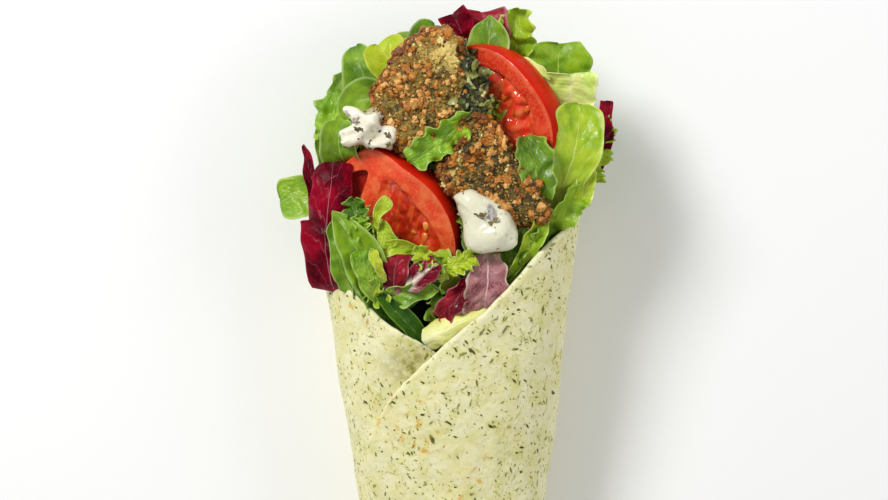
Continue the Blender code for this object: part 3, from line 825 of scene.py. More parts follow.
@dataclass(frozen=True)
class PattyFinish(Finish):
    """The fried crust between the crumbs: olive and tan, with pale cheese, and a browner side that is
    painted shade on its sides and its left side.
    """

    name: str = "patty_crust"
    olive: Triple = (0.095, 0.062, 0.007)
    tan: Triple = (0.36, 0.20, 0.026)
    cheese: Triple = (0.62, 0.46, 0.11)
    # The brown of the painted shade on the sides
    side_shade: Triple = (0.30, 0.080, 0.005)
    moss: Triple = (0.25, 0.20, 0.030)
    # Painted shade in the crust's pits
    dark: Triple = (0.020, 0.016, 0.004)
    spinach: Triple = (0.010, 0.013, 0.003)
    stem: Triple = (0.12, 0.13, 0.028)
    glass: Triple = (0.46, 0.46, 0.15)

    def surface(self, graph: ShaderGraph) -> dict[str, Any]:
        """Paint the crust.

        Args:
            graph: the material's nodes.

        Returns:
            The Principled node's inputs by name.
        """
        place = graph.place_mm()
        side, torn, rich = graph.split(graph.held("crust"))
        colour = graph.mix(graph.rise(graph.noise(place, 3, 4, 0.66), 0.4, 0.6), self.olive, self.tan)
        wash = graph.rise(graph.noise(place, 6, 3, 0.6), 0.42, 0.62)
        colour = graph.mix(wash * 0.6, colour, self.moss)
        cheese = graph.rise(graph.noise(place, 1.6, 4, 0.65, 0.5) + rich * 0.3, 0.55, 0.68)
        colour = graph.mix(cheese * 0.8, colour, self.cheese)
        stray = (graph.noise(place, 4, 3) - 0.5) * 1.2
        # Painted shade: browner on the sides and on the left side
        colour = graph.mix(graph.rise(side + stray, 0.35, 0.95), colour, self.side_shade)
        # Painted shade in the crust's pits, drawn by noise
        shaded_pits = graph.rise(graph.noise(place, 1.5, 4, 0.65), 0.47, 0.36)
        colour = graph.mix(shaded_pits * 0.9, colour, self.dark)
        fibres = graph.rise(graph.noise(place, 3.2, 3, 0.6), 0.45, 0.6)
        filling = graph.mix(fibres, self.spinach, self.stem)
        shreds = graph.noise(place + (50, 20, 0), 2.4, 3, 0.6, 0.8)
        filling = graph.mix(graph.rise(shreds, 0.55, 0.68), filling, self.glass)
        return {"Base Color": graph.mix(graph.rise(torn, 0.25, 0.7), colour, filling),
                "Roughness": graph.gloss(place, 1.5, 0.28, 0.6),
                "Normal": graph.bump(graph.noise(place, 0.9, 4, 0.7), 0.8),
                **soft(0.15, (1, 0.7, 0.3), 1.2)}


@dataclass(frozen=True)
class SauceFinish(Finish):
    """Thick white sauce, with painted shade in its low parts, a little greener where it is thin, with fine
    herb.
    """

    name: str = "white_sauce"
    white: Triple = (0.82, 0.80, 0.60)
    # The painted shade in its low parts
    shade: Triple = (0.62, 0.65, 0.30)
    herb: Triple = (0.22, 0.22, 0.09)

    def surface(self, graph: ShaderGraph) -> dict[str, Any]:
        """Paint the sauce.

        Args:
            graph: the material's nodes.

        Returns:
            The Principled node's inputs by name.
        """
        place = graph.place_mm()
        cloud = (graph.noise(place, 4, 3) - 0.5) * 1.6
        # Painted shade where the dollop is low and in its hollows, broken up by cloudy noise
        low = graph.rise(graph.held("tint", "Fac") + cloud, 0.45, -0.75)
        colour = graph.mix(low * 0.9, self.white, self.shade)
        specks = graph.place(Speckle(), Place=place, Size=1.6, Share=0.16)["Mask"]
        return {"Base Color": graph.mix(specks * 0.4, colour, self.herb),
                "Roughness": graph.gloss(place, 3, 0.16, 0.34),
                "Normal": graph.bump(graph.noise(place, 2.2), 0.35), "Coat Weight": 0.3,
                "Coat Roughness": 0.1, **soft(0.3, (1, 0.9, 0.7), 1.8)}


@dataclass(frozen=True)
class FloorFinish(Finish):
    """A plain pale floor."""

    name: str = "floor"
    pale: Triple = (0.97, 0.97, 0.97)
    white: Triple = (1, 1, 1)

    def surface(self, graph: ShaderGraph) -> dict[str, Any]:
        """Paint the floor; see Finish.surface."""
        cloud = graph.noise(graph.place_mm(), 120) * 0.02
        return {"Base Color": graph.mix(cloud, self.pale, self.white), "Roughness": 0.9,
                "Specular IOR Level": 0.1}


# The tortilla

@dataclass(frozen=True)
class Roll:
    """The cone that the tortilla is rolled into, and the line of its edge at the mouth."""

    sheet: float = 2.2
    layer_gap: float = 0.3
    waist_y: float = -50.7
    waist_x: float = 2.3
    waist_half_width: float = 30.1
    widening: float = 0.132
    lean: float = -0.025
    flatness: float = 0.78
    settle: float = 1.5
    lift: Pair = (330, 400)
    tail_start: float = -93.0
    tail_end: float = -107.7
    tail_opening: float = 0.62
    drift: float = 20.0
    drift_length: float = 35.0
    drift_from: float = 420.0
    no_rim: float = -200.0
    bulge: float = 0.6  # how far past the roll's size pieces above the rim may reach
    ground: float = 0.5
    rim: Keys = ((60, -24), (95.5, -3.3), (101, -0.8), (108, 1.5), (116, 4.4), (125, 8.2), (131, 11.4),
                 (138, 15), (145, 16.8), (155, 17), (165, 17.3), (180, 19), (215, 30), (270, 46), (325, 50),
                 (358, 44), (375, 40), (393, 34.5), (406, 28.3), (423, 16.3), (435, 8.6), (446, 2.6),
                 (457, -3.8), (464, -7.9), (473, -13), (480, -17.4), (487, -22.6), (493.5, -27.6),
                 (497.5, -30.6), (499.6, -34))

    def section(self, y: Any) -> tuple[Any, Any, Any, Any]:
        """The roll's cross-section.

        Args:
            y: where along the roll.

        Returns:
            Its middle x, half width, half height and middle height.
        """
        along = y - self.waist_y
        half_width = self.waist_half_width + along * self.widening
        half_height = half_width * self.flatness
        return self.waist_x + along * self.lean, half_width, half_height, half_height - self.settle

    def skin(self, angle: Array, y: Array, depth: float) -> Array:
        """Points under the roll's skin, whose tail turns in.

        Args:
            angle: degrees round the roll.
            y: where along it, in an array like angle's.
            depth: how far under the skin.

        Returns:
            The points.
        """
        middle_x, half_width, half_height, middle_z = self.section(y)
        turn = np.arcsin(np.clip((self.tail_start - y) / (self.tail_start - self.tail_end), 0, 1))
        size = self.tail_opening + (1 - self.tail_opening) * np.cos(turn)
        out = (self.sheet + self.layer_gap) * smooth_step(*self.lift, angle) - depth * np.cos(turn)
        around = np.radians(angle)
        x = middle_x + (half_width * size + out) * np.cos(around)
        z = middle_z + (half_height * size + out) * np.sin(around)
        return stacked(x, y + depth * np.sin(turn), np.maximum(z, depth))

    def drifted(self, angle: Array, y: Array) -> Array:
        """The angle that the sheet's column has at y, as the flap's side edge drifts.

        Args:
            angle: the column's angle at the mouth.
            y: where along the roll.

        Returns:
            The column's angle there.
        """
        end, end_y = self.rim[-1]
        below = np.maximum(end_y - y, 0)
        share = np.maximum(angle - self.drift_from, 0) / (end - self.drift_from)
        return angle + self.drift * (1 - np.exp(-below / self.drift_length)) * share

    def keep_inside(self, points: Array, room: float = 0.5) -> Array:
        """Press points that would pierce the tortilla against its inside.

        Args:
            points: any array of points.
            room: how far from the inside they stay.

        Returns:
            The moved points.
        """
        x, y, z = np.moveaxis(points, -1, 0)
        middle_x, half_width, half_height, middle_z = self.section(y)
        across = (x - middle_x) / (half_width - self.sheet - room)
        up = (z - middle_z) / (half_height - self.sheet - room)
        angle = np.degrees(np.arctan2(up, across)) % 360
        first, last = self.rim[0][0], self.rim[-1][0]
        inner = np.where(angle >= first, smooth_keys(self.rim, angle), self.no_rim)
        outer = np.where(angle + 360 <= last, smooth_keys(self.rim, angle + 360), self.no_rim)
        held = smooth_step(3, -2, y - np.maximum(inner, outer))
        limit = 1 + (1 - held) * self.bulge
        pull = np.minimum(1, limit / np.maximum(np.hypot(across, up), 1e-6))
        low = self.ground + (self.sheet + room) * held
        return stacked(middle_x + (x - middle_x) * pull, y,
                       np.maximum(middle_z + (z - middle_z) * pull, low))


@dataclass(frozen=True)
class Tortilla:
    """The rolled sheet with its uneven edge, and the folds tucked into its tail."""

    roll: Roll
    finish: TortillaFinish
    columns: int = 320
    rows: int = 104
    lip_rows: int = 10
    edge_steps: tuple[float, ...] = (0, 0.12, 0.35, 0.7, 1.1, 1.6)
    arc: float = 0.63  # millimetres to a degree of the middle of the roll
    nick: Triple = (495, 1.3, 1.1)  # angle, width in degrees and depth
    cap_y: float = -98.0
    cap_depth: float = 8.5
    cap_size: float = 0.9
    cap_rows: int = 40
    cap_sides: int = 180
    pleats: int = 9
    pleat_height: float = 1.3

    def relief(self, points: Array) -> Array:
        """How far the soft sheet swells outward at points, the same for both of its layers."""
        swell = (0.9 * COARSE.at(points, 30) + 0.35 * COARSE.at(points + 70, 13)
                 + 0.12 * FINE.at(points, 4.5))
        return swell * smooth_step(0, 9, points[..., 2])

    def sheet(self) -> Shape:
        """The sheet, from its edge at the mouth to the lip of the tail.

        Returns:
            The closed shape.
        """
        roll, steps = self.roll, np.array(self.edge_steps)
        first, last = roll.rim[0][0], roll.rim[-1][0]
        ends = steps / self.arc
        inner = np.linspace(first + ends[-1], last - ends[-1], self.columns)[1:-1]
        rim_angle = np.concatenate([first + ends, inner, (last - ends)[::-1]])
        at, width, depth = self.nick
        line = stacked(rim_angle * self.arc, 0, 0)
        rim_y = (smooth_keys(roll.rim, rim_angle) - depth * np.exp(-((rim_angle - at) / width)**2)
                 + 0.45 * FINE.at(line, 5) + 0.22 * FINE.at(line + 9, 1.7))
        share = np.linspace(0, 1, self.rows)[1:, None]
        body = rim_y - steps[-1] + (roll.tail_start - rim_y + steps[-1]) * share
        lip = np.sin(np.linspace(0, math.pi / 2, self.lip_rows + 1)[1:, None])
        lip = roll.tail_start + (roll.tail_end - roll.tail_start) * lip
        y = np.concatenate([rim_y - steps[:, None], body, lip + 0 * rim_y])
        angle = roll.drifted(np.broadcast_to(rim_angle, y.shape), y)
        middle = roll.skin(angle, y, roll.sheet / 2)
        middle += grid_normals(middle) * self.relief(middle)[..., None]
        to_side = np.minimum(rim_angle - first, last - rim_angle) * self.arc
        to_edge = np.minimum(rim_y - y, to_side)
        ratio = 1 - np.clip(to_edge / steps[-1], 0, 1)
        half = roll.sheet / 2 * np.sqrt(np.maximum(1 - ratio**2, 0.004))
        middle[..., 2] = np.maximum(middle[..., 2], half)
        # The third value is the distance to the edge, up to 3 mm, where the finish paints its highlight
        return plate(middle, half, "sheet", stacked(angle * self.arc, y, np.clip(to_edge, 0, 3)))

    def folds(self) -> Shape:
        """The pleated end that closes the tail.

        Returns:
            The closed shape.
        """
        tilt = np.linspace(0.03, math.pi - 0.03, self.cap_rows)[:, None]
        turn = np.linspace(0, 2 * math.pi, self.cap_sides, endpoint=False)[None, :]
        middle_x, half_width, half_height, middle_z = self.roll.section(self.cap_y)
        swirl = turn * self.pleats + 1.6 * np.sin(tilt) + 0.5 * np.sin(2 * turn)
        fold = (swirl / (2 * math.pi)) % 1
        height = self.pleat_height * smooth_step(0, 0.8, fold) * smooth_step(1, 0.86, fold)
        size = self.cap_size * np.sin(tilt)
        out = half_width * size * np.cos(turn)
        z = middle_z + half_height * size * np.sin(turn)
        y = self.cap_y + self.cap_depth * np.cos(tilt) - height * np.sin(tilt) * (tilt > 1.2)
        return tube(stacked(middle_x + out, y, z), sheet=stacked(out, z + 200, 3), under=0 * z)

    def build(self) -> None:
        """Make the sheet and the folds."""
        self.sheet().piece("tortilla_sheet", "tortilla", "tortilla", self.finish)
        self.folds().piece("tortilla_folds", "tortilla", "tortilla", self.finish)


# Leaves

@dataclass(frozen=True)
class LeafForm:
    """How a kind of leaf is shaped. Heights and thicknesses are millimetres."""

    outline: tuple[float, ...] = (0.5, 0.88, 1, 0.85, 0.5)  # half widths, base to tip
    tip_round: float = 0.16  # share of the length over which the tip rounds off
    lobes: float = 0.0  # lobes along each side
    lobe_depth: float = 0.0  # as a share of the half width
    teeth: float = 0.0
    tooth_depth: float = 0.0
    sweep: float = 0.2  # how far the sides reach toward the tip
    fold: float = 0.1  # slope of the two halves up from the midrib
    frills: float = 1.5  # waves along each edge
    frill_height: float = 0.4
    side_veins: float = 6.0
    slant: float = 0.35
    vein_relief: float = 0.2
    blister: float = 0.2
    blister_size: float = 3.0
    crumple: float = 0.2  # height of the soft creases across the blade
    thickness: float = 0.5
    rib: float = 0.5  # how far the midrib stands out beneath
    rib_width: float = 0.8


GREEN_UNDER = (0.33, 0.46, 0.09)

# A finish's colours are its deep and bright blade, its veins, base, edge and underside
SPINACH_DARK = LeafFinish("spinach_dark", (0.02, 0.08, 0.003), (0.07, 0.18, 0.008), (0.17, 0.34, 0.05),
                          (0.2, 0.36, 0.05), (0.16, 0.33, 0.04), GREEN_UNDER, 0.2, vein_share=0.2)
SPINACH = LeafFinish("spinach", (0.09, 0.21, 0.007), (0.25, 0.42, 0.022), (0.4, 0.56, 0.11),
                     (0.35, 0.52, 0.1), (0.5, 0.66, 0.25), GREEN_UNDER)
PALE_SPINACH = replace(SPINACH, name="pale_spinach", deep=(0.13, 0.27, 0.009), bright=(0.34, 0.52, 0.028))
LIME = LeafFinish("lime_leaf", (0.33, 0.48, 0.008), (0.5, 0.6, 0.015), (0.76, 0.77, 0.25),
                  (0.6, 0.68, 0.12), (0.66, 0.7, 0.08), GREEN_UNDER, vein_share=0.8, network_share=0.15,
                  side_veins=4.5, vein_width=0.07)
LETTUCE = LeafFinish("lettuce", (0.15, 0.34, 0.01), (0.34, 0.54, 0.025), (0.52, 0.68, 0.14),
                     (0.62, 0.7, 0.18), (0.55, 0.7, 0.18), (0.4, 0.56, 0.12), cells=13, relief=0.5,
                     crease_shade=0.5, shine=0.45, roughness=0.3)
BUTTER = LeafFinish("butter_lettuce", (0.24, 0.42, 0.012), (0.46, 0.59, 0.03), (0.58, 0.7, 0.15),
                    (0.66, 0.7, 0.12), (0.64, 0.72, 0.2), (0.42, 0.56, 0.12), 0.5, cells=11, roughness=0.3,
                    vein_share=0.22, relief=0.3, crease_shade=0.35)
FRESH = LeafFinish("fresh_lettuce", (0.36, 0.52, 0.012), (0.6, 0.68, 0.03), (0.8, 0.84, 0.26),
                   (0.74, 0.76, 0.14), (0.86, 0.88, 0.42), (0.45, 0.58, 0.08), edge_share=0.5, cells=12,
                   relief=0.4, vein_share=0.4, crease_shade=0.5, shine=0.4)
GREEN = LeafFinish("green_lettuce", (0.055, 0.15, 0.006), (0.2, 0.36, 0.015), (0.4, 0.56, 0.09),
                   (0.42, 0.56, 0.08), (0.42, 0.6, 0.12), (0.3, 0.44, 0.08), cells=12, relief=0.4,
                   crease_shade=0.4, shine=0.4, roughness=0.3)
ICEBERG = LeafFinish("iceberg", (0.56, 0.8, 0.13), (0.84, 0.93, 0.34), (0.92, 0.95, 0.58),
                     (0.6, 0.78, 0.06), (0.92, 0.95, 0.55), (0.7, 0.84, 0.34), 0.8, side_veins=9,
                     vein_share=0.5, roughness=0.32, crease_shade=0.3)
HEART = LeafFinish("romaine_heart", (0.76, 0.77, 0.14), (0.87, 0.88, 0.3), (0.94, 0.94, 0.54),
                   (0.9, 0.89, 0.45), (0.78, 0.8, 0.22), (0.84, 0.85, 0.36), 0.9, side_veins=8,
                   midrib_width=0.16, roughness=0.32)
BROAD_LEAF = LeafFinish("broad_leaf", (0.12, 0.29, 0.008), (0.3, 0.47, 0.018), (0.55, 0.62, 0.08),
                        (0.45, 0.6, 0.12), (0.36, 0.54, 0.06), GREEN_UNDER, midrib_width=0.06)
RADICCHIO_DEEP = LeafFinish("radicchio_deep", (0.06, 0.001, 0.006), (0.31, 0.001, 0.016), (0.55, 0.2, 0.24),
                            (0.45, 0.08, 0.14), (0.3, 0.012, 0.04), (0.3, 0.03, 0.07), 0.25, side_veins=2.6,
                            vein_width=0.03, vein_share=0.4, network_share=0.03, midrib_width=0.04,
                            roughness=0.28, shine=0.05)
RADICCHIO_STRIPED = LeafFinish("radicchio_striped", (0.1, 0.002, 0.01), (0.28, 0.006, 0.026),
                               (0.93, 0.86, 0.72), (0.9, 0.82, 0.68), (0.5, 0.16, 0.18), (0.4, 0.1, 0.13),
                               0.3, 0.4, 1.3, 0.52, 0.05, 0.8, 0, roughness=0.28, shine=0.2)
RADICCHIO_PALE = LeafFinish("radicchio_pale", (0.22, 0.02, 0.04), (0.56, 0.3, 0.3), (0.74, 0.56, 0.52),
                            (0.66, 0.44, 0.4), (0.88, 0.78, 0.56), (0.3, 0.05, 0.09), 0.15, 0.5, 9, 0.1,
                            0.06, 0.4, 0.25, 16, shine=0.2)
RADICCHIO_PLAIN = LeafFinish("radicchio_plain", (0.09, 0.002, 0.008), (0.34, 0.008, 0.022),
                             (0.6, 0.24, 0.28), (0.6, 0.25, 0.3), (0.6, 0.22, 0.26), (0.3, 0.03, 0.07), 0.2,
                             side_veins=2.2, vein_width=0.03, vein_share=0.35, network_share=0.02,
                             midrib_width=0.05, roughness=0.28, shine=0.2, relief=0.3)


class Kind(Enum):
    """The kinds of leaf in the heap: each one's form and finish."""

    DARK = (LeafForm((0.55, 0.92, 1, 0.9, 0.62), vein_relief=0.12), SPINACH_DARK)
    OVAL = (LeafForm((0.5, 0.9, 1, 0.88, 0.6), frill_height=0.6, vein_relief=0.15), SPINACH)
    LIMED = (LeafForm((0.45, 0.7, 0.95, 1, 0.75), vein_relief=0.3, fold=0.25, side_veins=4.5), LIME)
    CURLED = (LeafForm((0.4, 0.75, 1, 1, 0.8), teeth=9, tooth_depth=0.12, frills=4, frill_height=2,
                       blister=1, blister_size=3.2, crumple=1.2), LETTUCE)
    SERRATED = (LeafForm((0.45, 0.85, 1, 0.95, 0.75), teeth=7, tooth_depth=0.1, frills=2.5,
                         frill_height=1.1, blister=0.6, sweep=0.35, crumple=0.7), LETTUCE)
    SMOOTH = (LeafForm((0.4, 0.75, 1, 1, 0.75), frills=1.2, frill_height=0.7, blister=0.5, blister_size=5,
                       rib=0.6, crumple=0.4), BUTTER)
    BROAD_GREEN = (LeafForm((0.4, 0.7, 0.9, 1, 0.92), 0.07, frills=2, frill_height=1, vein_relief=0.25,
                            blister=0.35, crumple=0.4), BROAD_LEAF)
    RIBBED = (LeafForm((0.8, 1, 1, 1, 0.95), 0.03, teeth=11, tooth_depth=0.06, frills=2.5, frill_height=0.7,
                       side_veins=9, slant=0.7, vein_relief=0.3, blister=0.3, blister_size=2.5,
                       thickness=0.8, crumple=0.3), ICEBERG)
    HEARTED = (LeafForm((0.85, 1, 1, 0.9, 0.6), 0.05, teeth=5, tooth_depth=0.05, frills=2, frill_height=0.5,
                        rib=0.8, rib_width=1.6, thickness=0.9, vein_relief=0.06, blister=0.1, fold=-0.25),
               HEART)
    BLADE = (LeafForm((0.6, 0.95, 1, 0.75, 0.3), fold=0.3, frills=1.2, vein_relief=0.1), SPINACH_DARK)
    POINTED = (LeafForm((0.8, 1, 0.95, 0.7, 0.28), fold=0.5, frills=1.6, frill_height=0.7, crumple=0.5,
                        rib=0.8), SPINACH)
    FRISEE = (LeafForm((0.5, 0.75, 1, 1, 0.9), 0.1, teeth=9, tooth_depth=0.35, frills=3, frill_height=1.3,
                       blister=0.5, crumple=0.8, sweep=0.5), FRESH)
    STRIP = (LeafForm((0.7, 0.9, 1, 0.95, 0.8), 0.08, teeth=9, tooth_depth=0.06, frills=2.5, frill_height=1,
                      fold=0.25, crumple=0.6, blister=0.4), BROAD_LEAF)
    FRINGED = (LeafForm((0.6, 0.85, 1, 1, 0.8), lobes=5, lobe_depth=0.55, teeth=23, tooth_depth=0.12,
                        frills=11, frill_height=1.3, sweep=0.3), LETTUCE)
    RED = (LeafForm((0.7, 0.95, 1, 0.97, 0.9), 0.03, frills=1.3, frill_height=0.7, side_veins=3, rib=0.9,
                    crumple=0.3), RADICCHIO_DEEP)
    STRIPED_RED = (LeafForm((0.7, 0.95, 1, 0.92, 0.7), 0.1, frills=1.3, frill_height=0.7, side_veins=3.2,
                            vein_relief=0.5, rib=0.9), RADICCHIO_STRIPED)
    PALE_RED = (LeafForm((0.55, 0.85, 1, 1, 0.85), 0.08, teeth=3, tooth_depth=0.07, frills=2.2,
                         frill_height=1, vein_relief=0.3, blister=0.3, crumple=0.5), RADICCHIO_PALE)


@dataclass(frozen=True)
class Leaf:
    """One leaf, along three points of its midrib."""

    kind: Kind
    base: Triple
    middle: Triple
    tip: Triple
    half_width: float
    cup: float = 0.6  # how far the edges curl up, in radians
    facing: Triple | None = None  # where the upper face looks; outward and up by default
    coat: LeafFinish | None = None  # its finish, where that isn't its kind's
    outline: tuple[float, ...] | None = None
    rows: int = 64
    columns: int = 29
    twist: float = 0.0  # degrees from base to tip

    SIDE_LEAN, MOUTH_LEAN = 0.011, 0.12
    EDGE_POWER = 1.7
    OTHER_SIDE = 0.45  # share of a vein's spacing between the two sides' veins

    @property
    def finish(self) -> LeafFinish:
        """The leaf's own finish, or its kind's."""
        return self.coat or self.kind.value[1]

    def spine(self, along: Array) -> tuple[Array, Array, Array, Array]:
        """The midrib's points and the leaf's directions at them.

        Args:
            along: shares of the length, rows by 1.

        Returns:
            The points, and unit vectors ahead, to the side and up from the blade.
        """
        base, middle, tip = (np.array(point, float) for point in (self.base, self.middle, self.tip))
        facing = self.facing or (self.middle[0] * self.SIDE_LEAN, self.MOUTH_LEAN, 1)
        centre = (base * (1 - along) * (1 - 2 * along) + middle * 4 * along * (1 - along)
                  + tip * along * (2 * along - 1))
        ahead = unit(base * (4 * along - 3) + middle * (4 - 8 * along) + tip * (4 * along - 1))
        side = unit(np.cross(ahead, facing))
        normal = np.cross(side, ahead)
        turn = np.radians(self.twist) * (along - 0.5)
        return (centre, ahead, side * np.cos(turn) + normal * np.sin(turn),
                normal * np.cos(turn) - side * np.sin(turn))

    def width(self, along: Array, right: Array, seed: float) -> Array:
        """Half the leaf's width, with its lobes, teeth and rounded tip.

        Args:
            along: shares of the length, rows by 1.
            right: whether each column is on the right side, 1 by columns.
            seed: a number that shifts what repeats.

        Returns:
            Millimetres, rows by columns.
        """
        form = self.kind.value[0]
        shift = np.where(right, 0.37, 0) + seed
        past = np.clip((along - 1 + form.tip_round) / form.tip_round, 0, 1)
        width = self.half_width * evenly(self.outline or form.outline, along)
        width = width * np.sqrt(1 - 0.985 * past**2)
        lobe = 0.5 - 0.5 * np.cos(2 * math.pi * (form.lobes * along + shift))
        width = width * (1 - form.lobe_depth * lobe**0.8)
        tooth = (form.teeth * along + shift * 3) % 1
        return width * (1 - form.tooth_depth * smooth_step(0, 0.8, tooth) * smooth_step(1, 0.8, tooth))

    def shape(self, roll: Roll, seed: int) -> Shape:
        """The leaf's mesh.

        Args:
            roll: the roll that holds its base.
            seed: a number of its own.

        Returns:
            The closed shape, with its place on the leaf in "leaf".
        """
        form = self.kind.value[0]
        along = np.linspace(0, 1, self.rows)[:, None]
        across = np.linspace(-1, 1, self.columns)[None, :]
        away, right = np.abs(across), across > 0
        phase = seed * GOLDEN_ANGLE
        centre, ahead, side, normal = (array[:, None, :] for array in self.spine(along))
        width = self.width(along, right, seed * GOLDEN_SHARE)
        edge = away**self.EDGE_POWER
        curl = np.where(right, 1, 0.8 + 0.4 * math.sin(phase)) * self.cup
        out = width * np.sin(curl * across) / curl
        up = width * (1 - np.cos(curl * across)) / curl
        up = up + form.fold * width * (np.sqrt(across**2 + 0.02) - 0.14)
        wave = 2 * math.pi * form.frills * along + phase + np.where(right, 1.9, 0)
        up = up + form.frill_height * edge * (np.sin(wave) + 0.45 * np.sin(2.3 * wave + 1))
        out = out + 0.4 * form.frill_height * edge * np.cos(1.7 * wave) * np.sign(across)
        veins = ((along - form.slant * away**0.8) * form.side_veins + np.where(right, self.OTHER_SIDE, 0))
        groove = np.exp(-((veins % 1 - 0.5) / 0.13)**2) * (1 - away)**0.4
        rib = np.exp(-(across * width / form.rib_width)**2) * (1.1 - along)
        up = up - form.vein_relief * groove - 0.35 * form.rib * rib
        points = centre + side * out[..., None] + normal * up[..., None]
        points = points + ahead * (form.sweep * width * away**1.5)[..., None]
        puff = form.blister * (1 - 0.6 * groove) * FINE.at(points + seed * 7, form.blister_size)
        sway = 0.9 * COARSE.at(points + seed * 3, 14)
        crease = form.crumple * (0.5 - np.abs(COARSE.at(points + seed * 5, 6)) / 0.35)
        points = roll.keep_inside(points + normal * (puff + sway + crease)[..., None])
        half = form.thickness / 2 * (1 - 0.6 * away**4) + 0.4 * form.rib * rib
        half = half * np.sqrt(1 - 0.9 * np.clip((along - 0.9) / 0.1, 0, 1)**2)
        return plate(points, half, "leaf", stacked(across, along, float(seed)))

    def build(self, name: str, roll: Roll, seed: int, slot: str, node: str) -> None:
        """Make the leaf's object in its roll, with a seed and the node that it stands for."""
        self.shape(roll, seed).piece(name, slot, node, self.finish, sharp=80)


